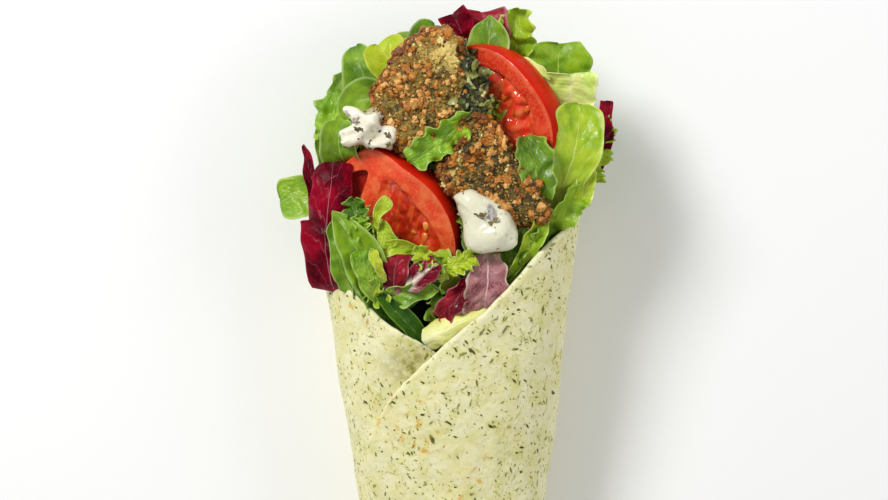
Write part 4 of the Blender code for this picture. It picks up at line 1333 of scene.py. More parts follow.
GREEN_LEAVES = tuple(Leaf(*row) for row in (
    # Behind and to the left of the large patty
    (Kind.OVAL, (-17, 68, 36), (-24, 80, 43), (-28, 94.5, 40), 7),
    (Kind.LIMED, (-9, 77, 38), (-15, 86, 45), (-21, 94.5, 43), 7.5, 0.6, (0.1, 0.3, 1)),
    (Kind.OVAL, (-13, 67, 42), (-23, 77, 49), (-31.5, 70.5, 45), 7, 0.7, (-0.3, 0.1, 1)),
    (Kind.OVAL, (0, 84, 35), (-5, 94, 41), (-3, 101, 38), 7, 0.8),
    # Left side
    (Kind.CURLED, (-25, 55, 30), (-34, 65, 38), (-34, 80, 35), 7, 0.5),
    (Kind.OVAL, (-28, 55, 35), (-33, 60.5, 47), (-32.5, 70.5, 46), 6.5, 0.7, (-0.2, 0, 1)),
    (Kind.SMOOTH, (-30, 45, 30), (-43, 46.5, 34), (-53.2, 45.5, 30), 7, 0.4, None, LETTUCE),
    # In front of the left tomato
    (Kind.POINTED, (-20.5, 14, 47), (-27, 28.5, 54), (-35.6, 42.2, 51), 7, 0.5, (0.15, 0, 1), PALE_SPINACH,
     (0.8, 1, 0.92, 0.58, 0.08)),
    (Kind.SMOOTH, (-22.5, 33, 52), (-20.8, 39.8, 57), (-17.2, 45.6, 58.5), 2.4, 0.5, (-0.3, -0.3, 1), FRESH,
     (0.9, 0.6, 0.6, 1, 0.95)),
    (Kind.OVAL, (-12, 10, 43), (-18, 20, 48), (-23, 31, 50), 6, 0.5),
    (Kind.LIMED, (-3.5, 26.5, 48), (-13.5, 30.5, 54), (-22, 28.5, 52), 2.7, 0.6, (0.1, -0.3, 1)),
    # Behind and to the right of the right tomato
    (Kind.OVAL, (12, 76, 36), (13.8, 90.5, 44), (14.6, 104.2, 43), 7, 0.5, (0, 0.4, 1), None,
     (0.5, 0.85, 1, 0.85, 0.1)),
    (Kind.CURLED, (18, 74, 27), (22.8, 92, 37), (21.6, 106.3, 41), 6.4, 0.5, (-0.1, 0.3, 1), BUTTER),
    (Kind.BROAD_GREEN, (34, 71, 28), (36.3, 84, 37), (36.8, 95.4, 39), 10.6, 0.3, (0, 0.1, 1), None,
     (0.5, 0.9, 1, 0.97, 0.55)),
    (Kind.RIBBED, (33, 58, 27), (39, 74, 38.5), (40.8, 85.3, 44.5), 8.6, 0.2, (-0.02, 0.05, 1)),
    # Right side, inside the flap's edge
    (Kind.SMOOTH, (32.5, 39, 42), (40.3, 57, 51), (42.6, 75.5, 48), 8.4, 0.35, (0.2, 0, 1), None,
     (0.35, 0.6, 0.95, 1, 0.85)),
    (Kind.FRINGED, (37, 44, 39), (48.2, 55, 43), (51, 73, 39), 4.9, 0.3, None, BUTTER, None, 150),
    (Kind.STRIP, (29, 33, 44), (37.5, 41.5, 49), (43, 48, 47), 5, 0.7, (0.5, -0.4, 1)),
    (Kind.STRIP, (17, 12, 46), (25.5, 27.5, 53), (32, 43, 52), 3.6, 0.7, (0.2, -0.1, 1), BUTTER),
    # Between the patties and beside the small one
    (Kind.CURLED, (15, 74.5, 52.3), (3, 66.5, 59.5), (-11.5, 57.2, 57.8), 5.4, 0.5, (0.1, -0.2, 1)),
    (Kind.SERRATED, (25, 38, 46), (28.8, 51, 56), (25.5, 65, 56), 6.6, 0.6, None, GREEN),
    # In the notch between the two ends of the tortilla's edge
    (Kind.HEARTED, (-6.5, 0.5, 50), (2.5, 5.2, 53.5), (14, 10, 53), 4.6, -0.35, (-0.2, 0.1, 1)),
    (Kind.FRISEE, (-2.5, 20, 52), (3.5, 24.3, 56.5), (9.5, 27.2, 57), 3.6, 0.5, (0, -0.2, 1)),
    (Kind.BLADE, (-3.5, -4, 43), (-12.5, 7, 50), (-22.5, 16.2, 50), 3.4, 0.6, (0.1, 0.3, 1)),
    (Kind.BLADE, (-12.5, 2, 43), (-20.5, 10.5, 49), (-30.5, 20, 49), 2.3, 0.6),
    (Kind.POINTED, (-29, 14, 45), (-33, 26.5, 50.5), (-35, 39.5, 49), 2.9, 0.6, (-0.5, 0, 1)),
    (Kind.SMOOTH, (-21.5, 15, 50), (-24, 22, 55), (-26, 28.8, 55), 4.6, 0.5, (0.2, 0.1, 1), LETTUCE,
     (0.6, 0.9, 1, 1, 1)),
    (Kind.LIMED, (-18.5, 19, 53), (-20.8, 24.5, 56.6), (-22.8, 29, 56), 1.7, 0.4, (0.2, 0, 1), FRESH),
    (Kind.CURLED, (-17, 11, 48), (-22, 15.5, 52), (-27.5, 20.5, 52.5), 3.2, 0.5, None, BUTTER),
    (Kind.POINTED, (-19, 13.8, 48.5), (-11, 16.2, 51.5), (-1.5, 17.2, 52), 3.6, 0.4, (0, -0.5, 1)),
    (Kind.CURLED, (-4.5, 6.5, 45), (-2.5, 17, 52), (-2.5, 27.5, 55), 2.4, 0.5, None, GREEN),
    (Kind.CURLED, (-3, 20, 50), (-5.5, 25, 55), (-8.5, 30, 55.5), 3, 0.5, None, FRESH),
    (Kind.CURLED, (15, 15, 46), (20.5, 27, 51.5), (27.5, 39.5, 53), 5.2, 0.6, (-0.2, 0, 1), GREEN),
    (Kind.BLADE, (15.5, 8, 46), (21, 17, 51), (26, 24, 51.5), 2.4, 0.6, (0.2, 0, 1), SPINACH),
    (Kind.CURLED, (-22.5, 29, 47), (-26, 37, 52.5), (-28.8, 45.5, 52.5), 4, 0.6, (-0.1, -0.2, 1), GREEN),
    (Kind.CURLED, (-22, 31, 50), (-25, 36, 54), (-26, 41, 54.5), 2.6, 0.7),
    # The pale tip beside the right tomato, the lime one under the broad leaf, and a stalk's curl
    (Kind.OVAL, (19, 88, 39), (27, 87.6, 44), (34, 83.4, 45), 2.7, 0.5, (0.1, 0.2, 1), ICEBERG,
     (0.8, 1, 0.9, 0.5, 0.08)),
    (Kind.SMOOTH, (39.5, 38, 43), (43.8, 47.5, 47.5), (45.6, 56, 47), 3.4, 0.4, (0.3, 0, 1), FRESH),
    (Kind.SMOOTH, (-21.5, 39.5, 52), (-18.8, 35, 55.5), (-16.8, 30.5, 54.5), 2.8, 0.5, (-0.2, -0.1, 1)),
))

RADICCHIO = {
    "radicchio_left": (
        Leaf(Kind.RED, (-34.5, 13, 38), (-37, 26, 47), (-38.3, 39, 47), 8.6, -0.6, (-0.2, 0, 1), None,
             (0.7, 0.95, 1, 1, 1)),
        Leaf(Kind.RED, (-37.5, 31, 44), (-36.4, 44.5, 51), (-34.8, 57, 48), 8, -1, (-0.15, 0.1, 1), None,
             (1, 1, 0.95, 0.9, 0.85))),
    "radicchio_sliver": (
        Leaf(Kind.RED, (-40.5, 40, 34), (-42.5, 54, 42), (-45, 63, 41), 2.2, 0.3, None, None,
             (0.8, 1, 1, 0.7, 0.2)),),
    "radicchio_top": (
        Leaf(Kind.RED, (9.4, 90, 32), (6, 98, 41), (2.8, 104.7, 42), 5, 0.3, (-0.1, 0.1, 1), None,
             (0.9, 1, 1, 1, 0.95)),
        Leaf(Kind.RED, (15, 86, 31), (13.2, 97.5, 38.5), (12.2, 105.4, 39), 8, 0.3, (0, 0.3, 1),
             RADICCHIO_PLAIN, (0.9, 1, 1, 1, 0.9))),
    "radicchio_right": (
        Leaf(Kind.RED, (44.5, 49, 36), (50.3, 63, 41.5), (51.9, 77.2, 40), 3, 0.4, None, None,
             (0.7, 0.95, 1, 0.95, 0.7)),),
    "radicchio_front_left": (
        Leaf(Kind.RED, (-15.5, 15.5, 50), (-15.7, 22, 54.5), (-14.5, 28.3, 55), 4.6, -0.5, (-0.1, 0, 1),
             RADICCHIO_PLAIN),
        Leaf(Kind.STRIPED_RED, (-12, 17.5, 52), (-7, 21.5, 56), (-2, 25.5, 56), 4, -0.4)),
    "radicchio_front_right": (
        Leaf(Kind.PALE_RED, (13.6, 28.5, 52), (13.6, 19, 56), (12.2, 9, 52), 7.2, 0.4, (0, 0, 1)),
        Leaf(Kind.PALE_RED, (10, 20.5, 52.5), (4.5, 14.5, 54), (-1.5, 7.5, 51), 3.8, 0.4, (-0.1, -0.1, 1),
             RADICCHIO_PLAIN)),
}


@dataclass(frozen=True)
class Fan:
    """A row of leaves fanned round the roll, under the heap and at its sides."""

    count: int
    base: Pair  # half width and half height of the row at the leaves' bases
    tip: Pair  # and at their tips
    base_y: float
    reach: Pair  # where along Y every other leaf ends
    half_width: float
    kinds: tuple[Kind, ...]

    FIRST, LAST = 190, 350
    MIDDLE = (1.5, 27)
    REACH, SWING = 3, 0.14

    def leaves(self) -> list[Leaf]:
        """The row's leaves.

        Returns:
            One leaf for each place in the row.
        """
        leaves = []
        for number in range(self.count):
            turn = math.radians(self.FIRST + (self.LAST - self.FIRST) * number / (self.count - 1))
            reach = self.reach[number % 2] + self.REACH * math.sin(2.4 * number)
            swing = self.SWING * math.sin(1.7 * number)
            spine = []
            for step in (0, 0.5, 1):
                spread = math.sin(step * math.pi / 2)
                wide, tall = (a + (b - a) * spread for a, b in zip(self.base, self.tip))
                angle = turn + swing * step
                spine.append((self.MIDDLE[0] + wide * math.cos(angle),
                              self.base_y + (reach - self.base_y) * step,
                              self.MIDDLE[1] + tall * math.sin(angle)))
            kind = self.kinds[number % len(self.kinds)]
            facing = (math.cos(turn), 0, math.sin(turn))
            leaves.append(Leaf(kind, *spine, self.half_width, 0.4, facing, rows=44, columns=23))
        return leaves


UNDER_KINDS = (Kind.SMOOTH, Kind.CURLED, Kind.OVAL, Kind.BROAD_GREEN)
UNDER_ROWS = (
    Fan(10, (27, 19), (39, 24), 30, (72, 88), 11, UNDER_KINDS),
    Fan(5, (16, 12), (24, 14), 62, (92, 99), 9, UNDER_KINDS[::-1]),
)


@dataclass(frozen=True)
class SaladHeap:
    """The green leaves over the bare filling, and the small leaves that fill its gaps."""

    roll: Roll
    start: float = -88.0
    end: float = 97.0
    mouth: float = 20.0
    width: Keys = ((-10, 1), (40, 0.88), (70, 0.72), (90, 0.45), (97, 0.06))
    top: Keys = ((-20, 1), (25, 0.66), (60, 0.62), (90, 0.42), (97, 0.05))
    bottom: Keys = ((-20, 1), (20, 1), (40, 0.86), (70, 0.8), (90, 0.55), (97, 0.05))
    shrink: float = 0.955
    inset: float = 2.7
    stations: int = 150
    sides: int = 110
    gap: Pair = (-8, 10.5)  # the hollow in the notch, painted darkest as shade
    gap_size: float = 8.0
    gap_depth: float = 12.0
    gap_floor: float = 30.0
    fillers: int = 84
    filler_first: float = 2.0
    filler_span: float = 86.0
    filler_end: float = 94.0
    filler_kinds: tuple[Kind, ...] = (Kind.DARK, Kind.SMOOTH, Kind.OVAL, Kind.CURLED, Kind.DARK,
                                      Kind.SERRATED)

    PLACE = ("greens", "salad")  # slot and node
    # Near-black greens: painted shade in the gaps between the leaves
    CORE = TintedFinish("salad_core_painted_shade", (0.004, 0.011, 0.003), (0.03, 0.09, 0.009), (0.09, 0.2, 0.03),
                        grain=3)

    def surface(self, turn: Any, y: Any) -> Array:
        """Points on the bare filling.

        Args:
            turn: radians round it.
            y: where along it.

        Returns:
            The points.
        """
        middle_x, half_width, half_height, middle_z = self.roll.section(np.minimum(y, self.mouth))
        width = (half_width - self.inset) * smooth_keys(self.width, y) * self.shrink
        tall = np.where(np.sin(turn) > 0, smooth_keys(self.top, y), smooth_keys(self.bottom, y))
        height = (half_height - self.inset) * tall * self.shrink
        return stacked(middle_x + width * np.cos(turn), y, middle_z + height * np.sin(turn))

    def core(self) -> Shape:
        """The bare filling under the leaves, dark green as painted shade in the gaps between them.

        Returns:
            The closed shape.
        """
        y = np.linspace(self.start, self.end, self.stations)[:, None]
        turn = np.linspace(0, 2 * math.pi, self.sides, endpoint=False)[None, :]
        rings = self.surface(turn, y)
        rough = smooth_step(0, 30, y) * (1.3 * COARSE.at(rings, 9) + 0.7 * FINE.at(rings, 3))
        rings = rings + stacked(np.cos(turn), 0, np.sin(turn)) * rough[..., None]
        away = np.hypot(rings[..., 0] - self.gap[0], rings[..., 1] - self.gap[1]) / self.gap_size
        dip = np.exp(-away**2) * (rings[..., 2] > self.gap_floor)
        rings[..., 2] = np.maximum(rings[..., 2] - self.gap_depth * dip, self.inset)
        # The hollow's points take the darkest tint, as painted shade
        return tube(rings, tint=(0.5 + 0.5 * COARSE.at(rings, 12)) * (1 - dip))

    def small_leaves(self) -> list[Leaf]:
        """Small leaves that lie on the filling, under the ones that show.

        Returns:
            The leaves.
        """
        draw = np.random.default_rng(5)
        leaves = []
        for number in range(self.fillers):
            y = self.filler_first + self.filler_span * ((number + 0.5) / self.fillers)
            turn = math.radians(90 + 105 * math.sin(number * GOLDEN_ANGLE * 1.7 + draw.uniform(-0.5, 0.5)))
            swing = draw.uniform(-0.35, 0.35)
            long = draw.uniform(11, 18)
            start = self.surface(turn + swing * 0.5, y + long / 2)
            if math.dist(start[:2], self.gap) < self.gap_size + 2:
                continue
            out = np.array([math.cos(turn), 0, math.sin(turn)])
            lifts = (-1.5, draw.uniform(1.5, 3.5), draw.uniform(0.5, 3))
            spine = [tuple(self.surface(turn + swing * step, min(y + long * step, self.filler_end))
                           + out * lift) for step, lift in zip((0, 0.5, 1), lifts)]
            facing = (math.cos(turn), 0.15, math.sin(turn) + 0.2)
            kind = self.filler_kinds[number % len(self.filler_kinds)]
            leaves.append(Leaf(kind, *spine, draw.uniform(4, 6.5), 0.6, facing,
                               twist=draw.uniform(-40, 40), rows=30, columns=17))
        return leaves

    def build(self) -> None:
        """Make the filling, the leaves that show, and the ones behind them."""
        self.core().piece("salad_core_painted_shade", *self.PLACE, self.CORE)
        for number, leaf in enumerate(GREEN_LEAVES, 1):
            leaf.build(f"leaf_{number:02d}", self.roll, number, *self.PLACE)
        behind = [leaf for fan in UNDER_ROWS for leaf in fan.leaves()] + self.small_leaves()
        sorts: dict[LeafFinish, list[Shape]] = {}
        for number, leaf in enumerate(behind, len(GREEN_LEAVES) + 1):
            sorts.setdefault(leaf.finish, []).append(leaf.shape(self.roll, number))
        for finish, shapes in sorts.items():
            Shape.joined(shapes).piece("under_" + finish.name, *self.PLACE, finish, sharp=80)


# Small bits

def ball(detail: int) -> tuple[Array, Array]:
    """A unit ball.

    Args:
        detail: 2 for 80 triangles; one more makes it four times as fine.

    Returns:
        Its points and its faces.
    """
    mesh = bmesh.new()
    bmesh.ops.create_icosphere(mesh, subdivisions=detail, radius=1)
    points = np.array([vert.co[:] for vert in mesh.verts])
    faces = np.array([[vert.index for vert in face.verts] for face in mesh.faces])
    mesh.free()
    return points, faces


@dataclass
class Bits:
    """Small lumps or flakes, each squashed, rough and turned its own way."""

    seed: int
    rough: float  # how far their surface strays, as a share of their size
    grain: float  # size of that roughness, as a share of theirs
    bend: float = 0.0  # how far flakes curl
    detail: int = 2

    def shape(self, places: Array, outward: Array, radii: Array, tints: Array) -> Shape:
        """One shape of many bits.

        Args:
            places: their middles.
            outward: the ways that they face.
            radii: half their length, width and height.
            tints: what to write into "tint" for each.

        Returns:
            The shape.
        """
        draw = np.random.default_rng(self.seed)
        points, faces = ball(self.detail)
        count = len(places)
        outward = unit(outward + draw.normal(0, 0.2, (count, 3)))
        along = unit(np.cross(outward, draw.normal(size=(count, 3))))
        across = np.cross(outward, along)
        offsets = draw.uniform(0, 200, (count, 1, 3))
        strays = 1 + self.rough * FINE.at(points[None] + offsets, self.grain)
        local = points[None] * strays[..., None] * radii[:, None]
        curl = self.bend * (local[..., 0]**2) / np.maximum(radii[:, :1], 1e-6)
        made = (places[:, None] + local[..., 0:1] * along[:, None] + local[..., 1:2] * across[:, None]
                + (local[..., 2] + curl)[..., None] * outward[:, None])
        corners = (faces[None] + np.arange(count)[:, None, None] * len(points)).reshape(-1, 3)
        return Shape(made.reshape(-1, 3), [tuple(face) for face in corners.tolist()],
                     {"tint": np.repeat(tints, len(points))})


def pick_spots(rings: Array, weight: Array, count: int, seed: int) -> tuple[Array, Array, Array]:
    """Draw places on a surface of rings.

    Args:
        rings: rings by points by 3, round a middle.
        weight: how much each point is wanted.
        count: how many to draw.
        seed: a number that picks the draw.

    Returns:
        The points' numbers, the points, and the outward normals there.
    """
    wide = np.concatenate([rings[:, -1:], rings, rings[:, :1]], axis=1)
    normals = grid_normals(wide)[:, 1:-1].reshape(-1, 3)
    area = np.cross(np.gradient(wide, axis=1)[:, 1:-1], np.gradient(rings, axis=0))
    points = rings.reshape(-1, 3)
    if ((points - points.mean(axis=0)) * normals).sum() < 0:
        normals = -normals
    chance = (np.linalg.norm(area, axis=-1) * weight).ravel()
    draw = np.random.default_rng(seed)
    picked = draw.choice(len(points), count, replace=False, p=chance / chance.sum())
    return picked, points[picked], normals[picked]


def on_top(rings: Array, spots: Array) -> Array:
    """The points of the rings that are nearest to spots in plan."""
    points = rings.reshape(-1, 3)
    return points[[np.argmin(np.hypot(*(points[:, :2] - spot[:2]).T)) for spot in spots]]


# Tomato

@dataclass(frozen=True)
class TomatoWedge:
    """A wedge of tomato, laid along its core's axis from the stem end, its skin side up."""

    name: str
    middle: Triple
    axis: Triple
    half_length: float
    radius: float  # core to skin
    stem_end: float  # higher is blunter
    blossom_end: float
    tilt: float  # the upper cut face leans back by this angle
    ease: float  # and by this much less at the stem end
    seed: int
    # Each seed chamber's ends along the axis, and its inner and outer shares of the way to the
    # skin, the outer one at each end
    chambers: Sequence[tuple[float, float, float, float, float]]
    corner: float  # how square a chamber's corners are
    jelly: Pair  # how deep it lies, and how high it bulges
    seed_count: int
    flesh: TomatoFleshFinish = TomatoFleshFinish()
    jelly_finish: TomatoGelFinish = TomatoGelFinish()

    SKIN = TomatoSkinFinish()
    SEED = TintedFinish("tomato_seed", (0.72, 0.09, 0.012), (0.82, 0.19, 0.03), (0.9, 0.36, 0.08), 0.16,
                        0.8, 0.05)
    SLOT = "tomato"
    ANGLE = math.radians(56)
    TRIM, TRIM_SHARE = 2, 0.4
    CHAMBER_DEPTH = 2.8
    GEL_RIM, GEL_HEM, GEL_HALF, GEL_START = 0.1, 1, 0.5, 0.14
    GEL_GRID = (90, 50)
    POLE = 0.006
    STATIONS, SKIN_COLUMNS, LOWER_COLUMNS, UPPER_COLUMNS = 110, 28, 8, 60
    SEED_GAP, SEED_SCALE = 3, 24

    def frame(self, s: Any) -> tuple[Array, Array, Array]:
        """Unit vectors at places along the axis.

        Args:
            s: the places, from -1 to 1.

        Returns:
            Ahead, from core to skin on the upper face, and up from that face.
        """
        axis = unit(np.array(self.axis))
        flat = unit(np.array([-axis[1], axis[0], 0]))
        tilt = np.radians(self.tilt - self.ease * smooth_step(0.1, -0.8, np.asarray(s)))[..., None]
        to_skin = flat * np.cos(tilt) - np.cross(flat, axis) * np.sin(tilt)
        return axis, to_skin, unit(np.cross(axis, to_skin))

    def reach(self, s: Array) -> Array:
        """How far the skin is from the core at places along the axis, from -1 to 1."""
        roundness = np.where(s < 0, self.stem_end, self.blossom_end)
        return self.radius * np.sqrt(np.maximum(1 - np.abs(s)**roundness, 0))

    def on_face(self, s: Any, share: Any, sunk: Any) -> Array:
        """Points on the upper cut face, at shares of the way to the skin, sunk under it."""
        axis, to_skin, up = self.frame(s)
        return (np.array(self.middle) + axis * (s * self.half_length)[..., None]
                + to_skin * (self.reach(s) * share)[..., None] - up * sunk[..., None])

    def grain_at(self, s: Any, share: Any, scale: Pair) -> Array:
        """Where to read noise for places on the face, its two directions scaled."""
        return stacked(s * scale[0], share * scale[1], float(self.seed))

    def hollow(self, s: Array, share: Array) -> Array:
        """How far the seed chambers are open.

        Args:
            s: places along the axis.
            share: shares of the way from core to skin.

        Returns:
            From 0 to 1 at each place.
        """
        flat = self.grain_at(s, share, (3, 3))
        warp = 0.12 * COARSE.at(flat, 0.9) + 0.05 * FINE.at(flat, 0.3)
        opened = np.zeros(warp.shape)
        for low, high, inner, first, last in self.chambers:
            outer = first + (last - first) * np.clip((s - low) / (high - low), 0, 1)
            along = np.abs((s - (low + high) / 2) / ((high - low) / 2))
            radial = np.abs((share - (inner + outer) / 2) / ((outer - inner) / 2))
            reach = (along**self.corner + radial**self.corner)**(1 / self.corner) + warp
            opened = np.maximum(opened, smooth_step(1, 0.78, reach))
        return opened

    def grain(self, s: Array, share: Array) -> Array:
        """How far the cut face lies under a plane, from the knife and the wet fibres."""
        place = self.grain_at(s, share, (20, 14))
        return 0.16 * FINE.at(place, 1.6) + 0.3 * COARSE.at(place, 5)

    def body(self) -> Shape:
        """The wedge: round skin and two cut faces that meet near the core.

        Returns:
            The closed shape, the skin in slot 0 and the flesh in slot 1.
        """
        s = -np.cos(math.pi * np.linspace(self.POLE, 1 - self.POLE, self.STATIONS)[:, None])
        axis, to_skin, up = self.frame(s)
        radius = self.reach(s)
        centre = (np.array(self.middle) + axis * s * self.half_length)[:, None, :]
        angle = self.ANGLE * np.linspace(0, 1, self.SKIN_COLUMNS)[None, :]
        rounded = 1 - 0.012 * np.exp(-(angle / 0.02)**2)
        way = to_skin * np.cos(angle)[..., None] - up * np.sin(angle)[..., None]
        skin = centre + way * (radius * rounded)[..., None]
        half = self.ANGLE / 2
        trim = np.minimum(self.TRIM, radius * self.TRIM_SHARE)[..., None]
        core = centre + (to_skin * math.cos(half) - up * math.sin(half)) * trim
        down = np.linspace(0, 1, self.LOWER_COLUMNS + 1)[1:, None]
        lower = skin[:, -1:] * (1 - down) + core * down
        share = (np.linspace(0, 1, self.UPPER_COLUMNS + 1)[1:-1][None, :])**0.92
        sunk = self.CHAMBER_DEPTH * self.hollow(s, share) + self.grain(s, share)
        sunk = np.minimum(sunk, 0.55 * radius * share * math.sin(self.ANGLE))
        sunk = (sunk + 0.5 * smooth_step(0.965, 1, share)) * smooth_step(0, 6, radius)
        rings = np.concatenate([skin, lower, self.on_face(s + 0 * share, share + 0 * s, sunk)], axis=1)
        shares = np.concatenate([np.ones(self.SKIN_COLUMNS), 1 - down[:, 0], share[0]])
        depth = np.pad(sunk, ((0, 0), (rings.shape[1] - sunk.shape[1], 0)))
        shape = tube(rings, flesh=stacked(s, shares[None, :], depth))
        column = np.arange(len(shape.faces)) % rings.shape[1]
        shape.slots = (column >= self.SKIN_COLUMNS - 1).astype(int)
        return shape

    def gel(self) -> Shape:
        """The jelly that fills the last chamber to just under the cut face.

        Returns:
            The closed shape.
        """
        low, high, inner, first, last = self.chambers[-1]
        s = np.linspace(low, high, self.GEL_GRID[0])[:, None]
        share = np.linspace(max(inner, self.GEL_START), max(first, last), self.GEL_GRID[1])[None, :]
        place = self.grain_at(s, share, (24, 22))
        depth, bulge = self.jelly
        bulge = depth + bulge * COARSE.at(place, 4.2) + 0.4 * FINE.at(place, 1.9)
        opened = self.hollow(s, share)
        sunk = (self.grain(s, share) + self.GEL_RIM + opened * bulge
                + self.GEL_HEM * smooth_step(0.03, 0, opened))
        middle = self.on_face(s + 0 * share, share + 0 * s, sunk + self.GEL_HALF)
        return plate(middle, np.full(sunk.shape, self.GEL_HALF), "flesh", stacked(s, share, sunk))

    def seeds(self) -> Shape:
        """Drop-shaped seeds in the jelly, their points toward the core.

        Returns:
            The seeds in one shape.
        """
        draw = np.random.default_rng(self.seed)
        points, faces = ball(2)
        taper = 1 - 0.42 * points[:, :1]
        drop = points * np.concatenate([np.full_like(taper, 1.5), 0.92 * taper, 0.5 * taper], 1)
        made, spots = [], []
        while len(made) < self.seed_count:
            spot = np.array([draw.uniform(*self.chambers[-1][:2]), draw.uniform(0.2, 0.8)])
            near = [math.dist(spot * self.SEED_SCALE, other * self.SEED_SCALE) for other in spots]
            if self.hollow(*spot) < 0.95 or min(near, default=self.SEED_SCALE) < self.SEED_GAP:
                continue
            spots.append(spot)
            centre = self.on_face(*spot, np.array(self.jelly[0] + 0.2))
            _, to_skin, up = self.frame(spot[0])
            ahead = unit(-to_skin + draw.normal(0, 0.35, 3))
            side = unit(np.cross(unit(up + draw.normal(0, 0.3, 3)), ahead))
            ways = np.stack([ahead, side, np.cross(ahead, side)])
            whole = centre + draw.uniform(0.9, 1.3) * (drop @ ways)
            tint = np.full(len(points), draw.uniform(0.1, 0.9))
            made.append(Shape(whole, [tuple(face) for face in faces.tolist()], {"tint": tint}))
        return Shape.joined(made)

    def build(self) -> None:
        """Make the wedge, its jelly and its seeds."""
        self.body().piece(self.name, self.SLOT, self.name, self.SKIN, self.flesh, sharp=38)
        self.gel().piece(self.name + "_gel", self.SLOT, self.name, self.jelly_finish)
        self.seeds().piece(self.name + "_seeds", self.SLOT, self.name, self.SEED, sharp=70)


TOMATOES = (
    TomatoWedge("tomato_left", (-19, 32, 43.5), (0.891, -0.454, 0.14), 24, 28, 5, 1.8, 35, 14, 31,
                ((-0.93, -0.52, 0.1, 0.55, 0.80), (-0.38, 0.84, 0.08, 0.88, 0.48)), 4.5, (0.6, 0.8), 4),
    TomatoWedge("tomato_right", (13, 69.5, 42), (0.599, -0.801, 0.12), 25.5, 24, 2.4, 2.6, 39, 0, 47,
                ((-0.68, 0.53, 0.18, 0.72, 0.80),), 2.4, (1.1, 2.4), 6,
                TomatoFleshFinish("tomato_flesh_red", (0.72, 0.032, 0.01), (0.87, 0.095, 0.032),
                                  speck=(0.93, 0.24, 0.11)),
                TomatoGelFinish("tomato_gel_red", (0.92, 0.06, 0.022), (0.96, 0.26, 0.07))),
)


# Patties and sauce

@dataclass(frozen=True)
class Pebble:
    """A thick rounded disc: its outline's corners in plan, and how it sits."""

    corners: Sequence[Pair]
    middle: Triple
    half_thickness: float
    roundness: float  # higher is flatter on top and steeper at the edge
    slope: Pair = (0, 0)  # rise for each millimetre along X and Y

    FINE_STEPS, FIRST_TURN = 2000, 0.002
    MEAN_REACH = 16.0  # stands for the disc's radius where rings are spaced

    def outline(self, count: int) -> Array:
        """Points on the smooth closed line through the corners.

        Args:
            count: how many.

        Returns:
            The points in plan.
        """
        corners = np.array(self.corners, float)
        at = np.arange(count) / count * len(corners)
        i = at.astype(int)
        f = (at - i)[:, None]
        a, b, c, d = (corners[(i + k) % len(corners)] for k in (-1, 0, 1, 2))
        return 0.5 * (2 * b + (c - a) * f + (2 * a - 5 * b + 4 * c - d) * f**2
                      + (3 * b - a - 3 * c + d) * f**3)

    def profile(self, turn: Array) -> tuple[Array, Array]:
        """Shares of the reach and of the half thickness at angles down from the top."""
        tall = np.abs(np.cos(turn))
        return (1 - tall**self.roundness)**(1 / self.roundness), tall**(2 / self.roundness)

    def rings(self, upper: int, lower: int, sides: int) -> tuple[Array, Array, Array]:
        """The smooth disc.

        Args:
            upper: rings above its edge.
            lower: rings below it.
            sides: points in a ring.

        Returns:
            The points, the ways out from its middle, and the height as a share of the half
            thickness.
        """
        turn = np.linspace(self.FIRST_TURN, math.pi / 2, self.FINE_STEPS)
        share, tall = self.profile(turn)
        steps = np.hypot(self.MEAN_REACH * np.diff(share), self.half_thickness * np.diff(tall))
        length = np.concatenate([[0], np.cumsum(steps)])
        above, below = (np.interp(np.linspace(0.01, 1, count) * length[-1], length, turn)
                        for count in (upper, lower))
        turns = np.concatenate([above, math.pi - below[-2::-1]])[:, None]
        flat, height = self.profile(turns)
        height = height * np.sign(np.cos(turns))
        plan = (self.outline(sides) - np.array(self.middle[:2]))[None] * flat[..., None]
        rise = self.half_thickness * height + plan @ np.array(self.slope)
        points = np.concatenate([plan, rise[..., None]], axis=-1) + np.array(self.middle)
        out = unit(np.concatenate([plan, 2 * rise[..., None]], axis=-1))
        return points, out, height + 0 * rise

    @staticmethod
    def lumps(points: Array, spacing: float) -> Array:
        """The disc's broad lumps at points, from -1 to 1."""
        flat = [noise.noise(Vector(point) / spacing) for point in points.reshape(-1, 3).tolist()]
        return np.array(flat).reshape(points.shape[:-1])


